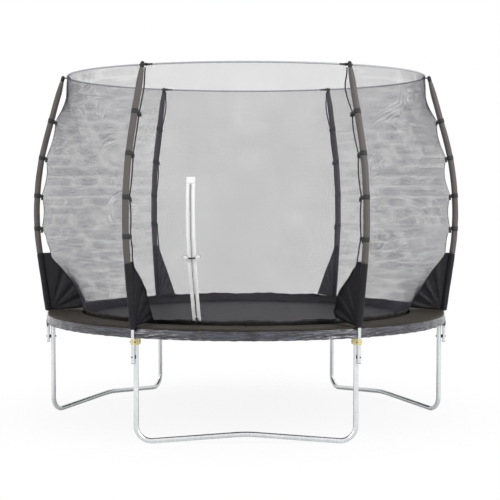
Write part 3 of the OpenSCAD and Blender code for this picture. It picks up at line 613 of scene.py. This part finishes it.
# How far inwards each pole's net edge hangs, as pairs of a height and a distance.
slack = {
    1: ((0.90, 0.085), (1.018, 0.120), (1.171, 0.075), (1.250, 0.050), (1.33, 0.040),
        (1.405, 0.020), (1.56, 0.036), (1.69, 0.020), (1.84, 0.040), (1.985, 0.018), (2.13, 0.040),
        (2.27, 0.018), (2.43, 0.058)),
    2: ((0.90, 0.010), (1.12, 0.030), (1.200, 0.026), (1.250, 0.016), (1.34, 0.018),
        (1.438, -0.003), (1.57, 0.018), (1.693, -0.004), (1.84, 0.026), (1.985, -0.008),
        (2.13, 0.016), (2.27, -0.009), (2.43, 0.028)),
    3: ((0.85, 0.045), (1.00, 0.040), (1.150, 0.018), (1.250, 0.008), (1.34, 0.014), (1.425, 0.006),
        (1.57, 0.012), (1.693, 0.006), (1.84, 0.016), (1.985, 0.006), (2.13, 0.020), (2.27, 0.006),
        (2.43, 0.040)),
    4: ((0.85, 0.055), (1.00, 0.050), (1.150, 0.040), (1.250, 0.035), (1.34, 0.030), (1.440, 0.006),
        (1.57, 0.014), (1.693, 0.006), (1.84, 0.030), (1.985, 0.006), (2.13, 0.016), (2.27, 0.006),
        (2.43, 0.036)),
    5: ((0.89, 0.056), (1.003, 0.070), (1.113, 0.060), (1.202, 0.047), (1.262, 0.042),
        (1.35, 0.026), (1.438, -0.003), (1.57, 0.016), (1.693, -0.004), (1.84, 0.020),
        (1.985, -0.006), (2.13, 0.012), (2.27, -0.006), (2.43, 0.026)),
    6: ((0.84, -0.020), (0.90, -0.006), (0.99, 0.022), (1.05, 0.048), (1.13, 0.046), (1.218, 0.030),
        (1.262, 0.024), (1.34, 0.030), (1.425, 0.015), (1.56, 0.026), (1.69, 0.006), (1.84, 0.022),
        (1.985, 0.013), (2.13, 0.018), (2.27, 0.013), (2.43, 0.022)),
}
slack_low, slack_high, slack_from = 0.815, 2.58, 4.0


def slack_at(pole, height):
    """How far a pole's net edge hangs inwards of its drawn line at a height."""
    if height <= slack_low or height >= slack_high:
        return 0.0
    knots = ((slack_low, 0.0), *slack[pole], (slack_high, 0.0))
    for (low, start), (high, end) in zip(knots, knots[1:]):
        if height <= high:
            share = (height - low) / (high - low)
            if low in tie_heights[pole]:
                return start + (end - start) * sin(pi / 2 * share)
            if high in tie_heights[pole]:
                return end + (start - end) * cos(pi / 2 * share)
            return start + (end - start) * 0.5 * (1 - cos(pi * share))


hem_foot_r, hem_foot_z, hem_bend_r, hem_bend_z = 1.23268, 0.7769, 1.55995, 1.21639
hem_arc_low, hem_arc_high, hem_arc_high_r = 1.2530, 2.14424, 1.50434


def drawn_hem(height):
    """The radius of the net's vertical edges where the cloth hangs tight."""
    if height < hem_bend_z:
        share = (height - hem_foot_z) / (hem_bend_z - hem_foot_z)
        return hem_foot_r + (hem_bend_r - hem_foot_r) * share
    if height < hem_arc_low:
        return hem_bend_r + (height - hem_bend_z) * tan(lean_out)
    if height < hem_arc_high:
        return arc_middle + sqrt(hem_arc ** 2 - (height - arc_height) ** 2)
    return hem_arc_high_r - (height - hem_arc_high) * tan(lean_in)


def hem_line(pole, height):
    """The radius of the net's edge at a pole."""
    return drawn_hem(height) - slack_at(pole, height)


flap_outer_foot, flap_head = 0.806, 1.250
crease_radius, crease_height = 1.5230, 0.80


def flap_place(pole):
    """A flap from the net's edge out to the pocket, with creases that fan out from its foot."""
    inner_foot = {2: 0.824, 5: 0.824}.get(pole, 0.846)

    def place(u, v):
        low = inner_foot - (inner_foot - flap_outer_foot) * u
        high = flap_head - 0.002 * u
        height = low + (high - low) * v - 0.004 * sin(pi * u) * (1 - v) ** 3
        inner = hem_line(pole, height) - 0.002
        outer = pole_line(height) - 0.0225 / cos(pole_tilt(height)) + 0.002
        radius = inner + (outer - inner) * u
        ray = atan2(height - crease_height, max(0.005, crease_radius - radius))
        reach = hypot(height - crease_height, crease_radius - radius)
        ripple = 0.0042 * sin(ray * 15 + pole) * smooth(0.0, 0.2, reach)
        ripple += 0.0018 * sin(ray * 31 + 2 * pole)
        hold = smooth(0.0, 0.12, u) * smooth(1.0, 0.9, u)
        return spot(pole_at(pole), radius, height, ripple * hold)
    return place


pocket_head, pocket_r, pocket_mouth_r = 1.2470, 0.0236, 0.0128


def pocket_place(pole):
    foot = {1: 0.800, 6: 0.786}.get(pole, 0.798)

    def place(u, v):
        height = foot + (pocket_head - foot) * v
        turn = 2 * pi * u
        folds = 0.0007 * sin(5 * turn + 17 * height + pole)
        folds += 0.0005 * sin(9 * turn - 40 * height)
        thick = pocket_r + folds - 0.0012 * smooth(0.9, 0.79, height)
        rim = (smooth(0.0, 0.012, v) * smooth(1.0, 0.988, v)) ** 0.4
        return round_pole(pole, height, pocket_mouth_r + (thick - pocket_mouth_r) * rim, turn)
    return place


gusset_finish = Finish("gusset_fabric_finish")
place = gusset_finish.place()
gusset_weave = weave(gusset_finish, 0.0012)
sheen_patch = gusset_finish.noise(place, 12.0, 4.0)
gusset_finish.paint(sheen_patch, (0.006, 0.0055, 0.0072), (0.019, 0.0172, 0.0225),
                    sheen_patch * 0.22 + 0.42, Specular_IOR_Level=0.22)
gusset_crease = gusset_finish.noise(place, 9.0, 4.0, twist=1.8)
gusset_finish.bump(gusset_crease + gusset_weave * 0.02, 0.5, 0.010)
for pole in range(1, 7):
    flap = lay(f"gusset_flap_{pole}", 34, 44, flap_place(pole), (0.26, 0.42))
    thicken(flap, 0.0016)
    settle(flap, "frame", gusset_finish, (f"gusset_{pole}",))
    pocket = lay(f"gusset_pocket_{pole}", 32, 60, pocket_place(pole), (0.148, 0.45), closed=True)
    settle(pocket, "frame", gusset_finish)

# Hoop
# Six bent rods of pale grey glass fibre, joined by black ferrules that pass through the pole
# caps. The head of the net is sewn round the rods.
rod_finish = Finish("glass_fibre_rod_finish")
place = rod_finish.place()
fibre = rod_finish.noise(place, 140.0, 4.0)
rod_finish.paint(fibre, (0.50, 0.51, 0.54), (0.66, 0.67, 0.71), fibre * 0.15 + 0.36)
rod_finish.bump(fibre, 0.2, 0.0003)
rod_finish.dress("hoop_rods")
ferrule_finish = Finish("ferrule_finish")
place = ferrule_finish.place()
rub = ferrule_finish.noise(place, 60.0, 3.0)
ferrule_finish.paint(rub, (0.014, 0.013, 0.013), (0.045, 0.040, 0.036), rub * 0.2 + 0.34)
ferrule_finish.bump(rub, 0.2, 0.0003)
ferrule_finish.dress("hoop_ferrules")

# Net
# Six panels of fine black polyester mesh, one for each bay. Each is cut narrow at its head and
# foot, hangs in a belly that stays clear of the poles, and has a woven border at its foot.
hoop_radius, hoop_height = 1.37113, 2.59941
net_low, net_high, cloth_width, mesh_pitch = 0.7712, 2.5990, 1.53, 0.003
rib_half, border_high, head_span, head_r = 0.00016, 0.068, 54.4, 0.0068
zip_at, zip_arc, zip_middle, zip_height, zip_arc_high = -15.5, 2.1, -0.688, 1.62, 1.85


def arc_line(height):
    return zip_middle + sqrt(zip_arc ** 2 - (height - zip_height) ** 2)


def zip_line(height):
    """The net's radius along the zip."""
    if height < zip_arc_high:
        return arc_line(height)
    share = (hoop_height - height) / (hoop_height - zip_arc_high)
    return hoop_radius + (arc_line(zip_arc_high) - hoop_radius) * share ** 2


def bow(a):
    """How far a chord's radius has grown a degrees from its middle: 0 there, 1 at a pole."""
    return (1 / cos(radians(a)) - 1) / (1 / cos(radians(30)) - 1)


def net_radius(bay, a, height):
    """The net's radius in a bay, a degrees from its middle. Its edges hang slack at the poles."""
    before = (bay - 2) % 6 + 1
    share = (bow(a) - bow(zip_at)) / (1 - bow(zip_at))
    radius = zip_line(height) + (drawn_hem(height) - zip_line(height)) * share
    pole, side = (bay, a) if a > 0 else (before, -a)
    near = max(0.0, side - slack_from) / (30 - slack_from)
    return radius - slack_at(pole, height) * near ** 2.2


def net_spot(bay, a, height, out=0.0):
    return spot(bay_at(bay) + a, net_radius(bay, a, height) + out, height)


def half_bay(height):
    """How many degrees a panel reaches to each side, to stop just short of the poles."""
    return 30 - degrees(asin(0.0035 / drawn_hem(height)))


def panel_place(bay):
    def place(u, v):
        height = net_low + (net_high - net_low) * v
        a = half_bay(height) * (2 * u - 1)
        edge = 1 - abs(2 * u - 1)
        tug = sin(9 * a / 30 + 14 * height + bay) * sin(5.1 * height + 2 * bay)
        tug *= 0.0035 * smooth(0.0, 0.10, edge) * smooth(0.0, 0.05, v) * smooth(1.0, 0.94, v)
        by_zip = bay == 1 and abs(a - zip_at) < 3.5
        return net_spot(bay, a, height, tug * (0.25 if by_zip else 1.0))
    return place


net_finish = Finish("net_mesh_finish")
net_map = net_finish.node("ShaderNodeTexCoord", "UV")
upright, lying = [(way * (pi / mesh_pitch)).math("SINE").math("ABSOLUTE")
                  for way in net_finish.axes(net_map)]
place = net_finish.place()
gather = net_finish.noise(place, 3.2, 4.0, 0.6)
threads = net_finish.ramp(upright.math("MINIMUM", lying), 0.14, 0.32, 1.0, 0.0)
net_finish.paint(gather, (0.034, 0.032, 0.045), (0.058, 0.055, 0.076), gather * 0.1 + 0.6,
                 Alpha=threads * (gather * 0.9 + 0.55))


def threads_of(bay):
    """The depth of a panel's upright threads, as narrow ribs 3 mm apart across its cloth."""
    count = round(cloth_width / mesh_pitch) - 1
    on_panel, outwards = panel_place(bay), spot(bay_at(bay), 1.0, 0.0)

    def place(u, v):
        column = round(u * (2 * count - 1))
        share = mesh_pitch * (column // 2 + 1) / cloth_width
        return on_panel(share, v) + outwards * (rib_half if column % 2 else -rib_half)

    ribs = lay(f"net_threads_{bay}", 2 * count - 1, 24, place, (2 * count - 1, 1.86))
    columns = ribs.data.uv_layers.active.data
    for face in ribs.data.polygons:
        middle = sum(columns[k].uv.x for k in face.loop_indices) / 4
        face.select = int(middle) % 2 == 1
    for corner in columns:
        corner.uv = (mesh_pitch * (round(corner.uv.x) // 2 + 1), corner.uv.y)
    bpy.context.tool_settings.mesh_select_mode = (False, False, True)
    bpy.ops.object.mode_set(mode="EDIT")
    bpy.ops.mesh.delete(type="FACE")
    bpy.ops.object.mode_set(mode="OBJECT")
    bpy.context.tool_settings.mesh_select_mode = (True, False, False)
    return ribs


for bay in range(1, 7):
    ribs = threads_of(bay)
    panel = lay(f"net_cloth_{bay}", 40, 96, panel_place(bay), (cloth_width, 1.86))
    panel = joined(panel, ribs)
    settle(panel, "frame", net_finish, (f"net_panel_{bay}",))


def border_place(bay):
    def place(u, v):
        height = net_low + border_high * v
        a = half_bay(height) * (2 * u - 1)
        wave = 0.0030 * sin(a * 1.7 + bay) * sin(a * 0.6) * v
        rise = (0.004 * sin(a * 0.31 + bay) + 0.002 * sin(a * 1.1)) * v
        return net_spot(bay, a, height + rise, 0.0016 + wave)
    return place


def head_place(bay):
    def place(u, v):
        a = head_span * (u - 0.5)
        turn = -2 * pi * v
        thick = head_r + 0.0004 * sin(a * 2.3)
        radius = hoop_radius + thick * sin(turn)
        return spot(bay_at(bay) + a, radius, hoop_height - thick * cos(turn))
    return place


head_finish = Finish("net_head_finish")
place = head_finish.place()
head_weave = weave(head_finish, mesh_pitch)
lint = head_finish.noise(place, 40.0)
head_finish.paint(lint, (0.30, 0.30, 0.32), (0.45, 0.45, 0.48), 0.7, Alpha=head_weave * 0.3 + 0.10)
border_finish = Finish("net_border_finish")
place = border_finish.place()
border_weave = weave(border_finish, 0.0014)
rumple = border_finish.noise(place, 20.0, twist=1.8)
border_finish.paint(rumple, (0.008, 0.007, 0.007), (0.034, 0.029, 0.027), rumple * 0.2 + 0.45,
                    Specular_IOR_Level=0.3)
border_finish.bump(rumple + border_weave * 0.02, 0.7, 0.012)
for bay in range(1, 7):
    border = lay(f"net_border_{bay}", 60, 4, border_place(bay), (1.30, border_high))
    thicken(border, 0.0008)
    settle(border, "frame", border_finish)
    head = lay(f"net_head_{bay}", 70, 10, head_place(bay), (1.30, 0.043))
    settle(head, "frame", head_finish)

# Hem cords
# A black cord is sewn into each vertical edge of the net. It hangs in shallow bows between the
# ties and is drawn tight down the edge of the gusset.
cord_low, cord_rise, cord_r = 0.7790, 1.8020, 0.0056


def cord_place(pole):
    def place(u, v):
        height = cord_low + cord_rise * v
        slope = (hem_line(pole, height + 0.002) - hem_line(pole, height - 0.002)) / 0.004
        turn = 2 * pi * u
        thick = cord_r * (smooth(0.0, 0.004, v) * smooth(1.0, 0.996, v)) ** 0.5 + 0.0001
        thick *= 1 + 0.05 * sin(240 * height + turn)
        return leaned(pole, hem_line(pole, height), height, -atan(slope),
                      0.4 * thick * cos(turn), 0.0, thick * sin(turn))
    return place


for pole in range(1, 7):
    cord = lay(f"hem_cord_{pole}", 10, 260, cord_place(pole), (0.036, 1.95), closed=True)
    settle(cord, "frame", webbing, ("net_hems",) if pole == 1 else ())

# Net ties
# Short black webbing straps, four to a pole. Each goes round the sleeve, is drawn in to a neck,
# and holds the hem cord, with its cut end hanging down beside the cord.
tie_grip, tie_neck, leave_x, leave_y, neck_share = 0.0236, 0.0085, 0.80, 0.60, 0.55


def tie_outline(share, reach):
    """A strap's outline round a sleeve and a cord at -reach, by its share of the way round."""
    turn = 2 * pi * share
    x, y = cos(turn), sin(turn)
    if x > -leave_x:
        return tie_grip * x, tie_grip * y
    side = copysign(1.0, y)
    along = (-x - leave_x) / (1 - leave_x)
    if along < neck_share:
        step = along / neck_share
        start = tie_grip * leave_x
        bulge = (tie_grip * leave_y - tie_neck) * (1 - step) ** 2.2
        return -start - (reach - start) * step, side * (tie_neck + bulge)
    angle = pi / 2 * (1 - (along - neck_share) / (1 - neck_share))
    return -reach - tie_neck * cos(angle), side * tie_neck * sin(angle)


def tie_place(pole, middle):
    tilt = pole_tilt(middle)
    reach = (pole_line(middle) - hem_line(pole, middle)) / cos(tilt)

    def place(u, v):
        out, aside = tie_outline(u, reach)
        near = smooth(-0.018, -0.034, out)
        lift = (0.033 - 0.009 * near) * (v - 0.5) - 0.004 * near
        return leaned(pole, pole_line(middle), middle, tilt, out, lift, aside)
    return place


def tail_place(pole, middle):
    """A strap's cut end, on one side of the cord or the other."""
    side = 1 if (pole * 7 + round(middle * 10)) % 2 else -1
    radius = hem_line(pole, middle)

    def place(u, v):
        hang = -0.002 - 0.032 * (1 - v)
        curl = 0.004 * (1 - v) ** 2
        aside = side * (0.0105 + curl)
        return spot(pole_at(pole), radius - 0.009 + 0.018 * u, middle + hang, aside)
    return place


for pole in range(1, 7):
    straps = []
    for middle in tie_heights[pole]:
        strap = lay("strap", 64, 4, tie_place(pole, middle), (0.22, 0.025), closed=True)
        tail = lay("tail", 3, 5, tail_place(pole, middle), (0.013, 0.026))
        straps += [thicken(strap, 0.0016, 1.0), thicken(tail, 0.0014)]
    ties = joined(*straps)
    ties.name = f"ties_on_pole_{pole}"
    settle(ties, "frame", webbing, ("net_ties",) if pole == 1 else ())

# Zip
# Two white woven tapes sewn to the front panel, a dark coil of interlocking teeth between them,
# and a square white patch over the coil's head.


def tape_place(near, far, low, high):
    def place(u, v):
        height = low + (high - low) * v
        aside = near + (far - near) * u
        a = zip_at + degrees(aside / zip_line(height))
        ripple = 0.0003 * sin(90 * height + 40 * aside)
        return net_spot(1, a, height, 0.0019 + ripple)
    return place


tape_finish = Finish("white_tape_finish")
place = tape_finish.place()
tape_weave = weave(tape_finish, 0.0012)
grime = tape_finish.noise(place, 24.0, 4.0)
tape_finish.paint(grime * 0.8 + tape_weave * 0.2, (0.90, 0.90, 0.91), (0.97, 0.97, 0.97),
                  grime * 0.2 + 0.6)
tape_finish.bump(tape_weave, 0.4, 0.0004)
tape_foot, tape_head = 0.832, 1.780
for name, near, far in (("left", -0.0295, -0.0040), ("right", 0.0040, 0.0295)):
    place = tape_place(near, far, tape_foot, tape_head)
    tape = thicken(lay(f"zip_tape_{name}", 4, 90, place, (0.0255, 0.96)), 0.0008)
    settle(tape, "frame", tape_finish, ("zip_tapes",) if name == "left" else ())
patch_place = tape_place(-0.0285, 0.0285, tape_head + 0.0004, 1.826)
patch = thicken(lay("zip_head_patch", 8, 6, patch_place, (0.057, 0.046)), 0.0012)
settle(patch, "frame", tape_finish, ("zip_patch",))


def on_arc(angle, out, aside=0.0):
    """Places a piece on the zip's arc: x out of the net, y along the round and z up the zip."""
    a, d = radians(angle), radians(zip_at)
    outward = Vector((sin(d) * cos(a), -cos(d) * cos(a), sin(a)))
    side = Vector((cos(d), sin(d), 0))
    up = outward.cross(side)
    middle = spot(zip_at, zip_middle, zip_height) + outward * (zip_arc + out) + side * aside
    turned_axes = Matrix((outward, side, up)).transposed().to_4x4()
    return Matrix.Translation(middle) @ turned_axes


tooth = block((0.0018, 0.0052, 0.0026), 0.0005, 1)
tooth_count, tooth_out, tooth_shift, first_angle, last_angle = 316, 0.0038, 0.0016, -22.03, 4.37
tooth_step = (last_angle - first_angle) / tooth_count
teeth = repeat(tooth, "zip_teeth", [on_arc(first_angle + tooth_step * (k + 0.5), tooth_out,
                                           tooth_shift * (1 if k % 2 else -1))
                                    for k in range(tooth_count)])
bpy.data.objects.remove(tooth)
zip_metal = zinc("zip_metal_finish", (0.05, 0.05, 0.05), (0.16, 0.16, 0.16), 0.34, 500.0)
settle(teeth, "frame", zip_metal, ("zip_chain",))
zip_metal.dress("zip_slider", "zip_pull")

# Latch
# Two oval white patches beside the zip carry white press studs. A black webbing strap with
# white tabs arches over the zip from stud to stud, and swings clear on the first one.
stud_plastic = Finish("white_plastic_finish")
place = stud_plastic.place()
speck = stud_plastic.noise(place, 300.0, 2.0)
stud_plastic.paint(speck, (0.84, 0.84, 0.84), (0.95, 0.95, 0.95), speck * 0.15 + 0.3)
stud_plastic.bump(speck, 0.2, 0.0002)
stud_outline = ((0.0, 0.0020), (0.0045, 0.0020), (0.0045, 0.0184), (0.0062, 0.0188),
                (0.0060, 0.0200), (0.0034, 0.0210), (0.0, 0.0212))
latch_radius, latch_height = 1.38462, 1.282
latch_tip, latch_skew = radians(-9.262), radians(-18.139)
oval_wide, oval_high, stud_at, arch_end, arch_low = 0.0165, 0.0125, 0.044, 0.0385, 0.0130


def on_latch(out, aside, up):
    """A point by the latch: out of the net, across the zip and upwards."""
    ahead = out * cos(latch_skew) + aside * sin(latch_skew)
    across = aside * cos(latch_skew) - out * sin(latch_skew)
    radius = latch_radius + ahead * cos(latch_tip) - up * sin(latch_tip)
    height = latch_height + ahead * sin(latch_tip) + up * cos(latch_tip)
    return spot(zip_at, radius, height, across)


def oval_place(middle):
    def place(u, v):
        turn = 2 * pi * u
        aside, up = oval_wide * v * cos(turn), oval_high * v * sin(turn)
        return on_latch(0.0026 - 0.0004 * v ** 4, middle + aside, up)
    return place


def stud_place(middle):
    def place(u, v):
        across, out = stud_outline[round(6 * v)]
        turn = 2 * pi * u
        return on_latch(out, middle + across * cos(turn), across * sin(turn))
    return place


def loop_place(middle, out, rise, wide, high, thick):
    """An oval loop of cord that lies flat at the latch."""
    def place(u, v):
        around, turn = 2 * pi * u, 2 * pi * v
        inset = thick * cos(turn)
        return on_latch(out + rise * sin(turn), middle + (wide - inset) * cos(around),
                        (high - inset) * sin(around))
    return place


def arch(aside):
    """How far out the strap stands beside the middle of the zip."""
    return arch_low + 0.0130 * (1 - min(1.0, abs(aside) / arch_end) ** 6)


for name, middle in (("left", -stud_at), ("right", stud_at)):
    first = name == "left"
    stud = lay(f"latch_stud_{name}", 24, 6, stud_place(middle), (0.03, 0.03), closed=True)
    settle(stud, "frame", stud_plastic, ("latch_studs",) if first else ())
    oval = lay(f"latch_oval_{name}", 28, 4, oval_place(middle), (0.10, 0.017), closed=True)
    thicken(oval, 0.0010)
    settle(oval, "frame", tape_finish, ("latch_patches",) if first else ())
    edging = lay(f"latch_oval_edge_{name}", 40, 6,
                 loop_place(middle, 0.0026, 0.0011, 0.0172, 0.0132, 0.0011), (0.10, 0.007),
                 closed=True)
    settle(edging, "frame", webbing)


def strap_place(u, v):
    aside = arch_end * (2 * v - 1)
    return on_latch(arch(aside), aside, 0.0055 * (1 - 2 * u) - 0.004 * sin(pi * v))


strap = thicken(lay("latch_ribbon", 4, 40, strap_place, (0.011, 0.09)), 0.0018)
eyes = [lay("eye", 24, 8, loop_place(middle, 0.0115, 0.0030, 0.0060, 0.0060, 0.0014),
            (0.04, 0.01), closed=True) for middle in (-stud_at, stud_at)]
strap = joined(strap, *eyes)
settle(strap, "latch", webbing, ("latch_strap",))


def tab_place(middle, stud):
    """A tab with a hole for a stud. It follows the strap's arch down to the stud's head."""
    def place(u, v):
        turn, hole = 2 * pi * u, 0.0048
        aside = (stud + hole * cos(turn)) * (1 - v) + (middle + oval_wide * cos(turn)) * v
        up = (hole * (1 - v) + oval_high * v) * sin(turn)
        return on_latch(max(arch(aside), 0.0150) + 0.0024 - 0.0008 * v ** 4, aside, up)
    return place


for name, middle, stud in (("left", -0.0415, -stud_at), ("right", 0.0415, stud_at)):
    tab = lay(f"latch_tab_{name}", 28, 6, tab_place(middle, stud), (0.10, 0.012), closed=True)
    thicken(tab, 0.0012)
    settle(tab, "latch", tape_finish)

# Floor, lamps and daylight
# A pale studio floor that keeps only a faint shadow and fades into white, two large soft lamps,
# and an even white surround that the zinc and the fabrics reflect.
bpy.ops.object.select_all(action="DESELECT")
bpy.ops.mesh.primitive_circle_add(vertices=96, radius=6.0, fill_type="NGON", location=(0, 0, 0))
floor = bpy.context.object
floor.name = "studio_floor"
floor_finish = Finish("studio_floor_finish")
place = floor_finish.place()
rays = floor_finish.node("ShaderNodeLightPath", "Is Camera Ray")
distance = floor_finish.node("ShaderNodeVectorMath", "Value", {"operation": "LENGTH"}, {0: place})
fade_out = floor_finish.ramp(distance, 1.0, 2.5, kind="SMOOTHSTEP")
floor_finish.set(Base_Color=(0.86, 0.86, 0.86, 1), Roughness=0.9)
glow = {"Color": (1, 1, 1, 1), "Strength": 1.0}
white = floor_finish.node("ShaderNodeEmission", "Emission", {}, glow)
clear = floor_finish.node("ShaderNodeBsdfTransparent", "BSDF")
painted = Signal(floor_finish, floor_finish.shader.outputs["BSDF"])
seen = floor_finish.node("ShaderNodeMixShader", 0, {}, {0: rays * 0.90, 1: painted, 2: white})
faded = floor_finish.node("ShaderNodeMixShader", 0, {}, {0: fade_out, 1: seen, 2: clear})
floor_finish.feed(floor_finish.nodes["Material Output"].inputs["Surface"], faded)
floor.data.materials.append(floor_finish.material)


def softbox(name, place, aim, size, power):
    lamp = bpy.data.objects.new(name, bpy.data.lights.new(name, "AREA"))
    bpy.context.scene.collection.objects.link(lamp)
    lamp.data.shape = "SQUARE"
    lamp.data.size = size
    lamp.data.energy = power
    lamp.location = place
    lamp.rotation_euler = (Vector(aim) - Vector(place)).to_track_quat("-Z", "Y").to_euler()


softbox("key_softbox", (-6.5, -5.5, 5.0), (0, 0, 1.2), 3.5, 300)
softbox("fill_softbox", (5.5, -4.5, 4.5), (0, 0, 1.2), 3.0, 330)

world = bpy.data.worlds.new("studio_surround")
bpy.context.scene.world = world
world.use_nodes = True
sky, sky_links = world.node_tree.nodes, world.node_tree.links
ray_kinds = sky.new("ShaderNodeLightPath").outputs
bright_ray = ray_kinds["Is Camera Ray"]
for kind in ("Is Glossy Ray", "Is Transmission Ray"):
    either = sky.new("ShaderNodeMath")
    either.operation = "MAXIMUM"
    sky_links.new(bright_ray, either.inputs[0])
    sky_links.new(ray_kinds[kind], either.inputs[1])
    bright_ray = either.outputs[0]
level = sky.new("ShaderNodeMapRange")
sky_links.new(bright_ray, level.inputs["Value"])
level.inputs["To Min"].default_value = 0.50
level.inputs["To Max"].default_value = 1.0
sky_links.new(level.outputs[0], sky["Background"].inputs["Strength"])
sky["Background"].inputs["Color"].default_value = (1, 1, 1, 1)
bpy.context.scene.view_settings.view_transform = "Standard"
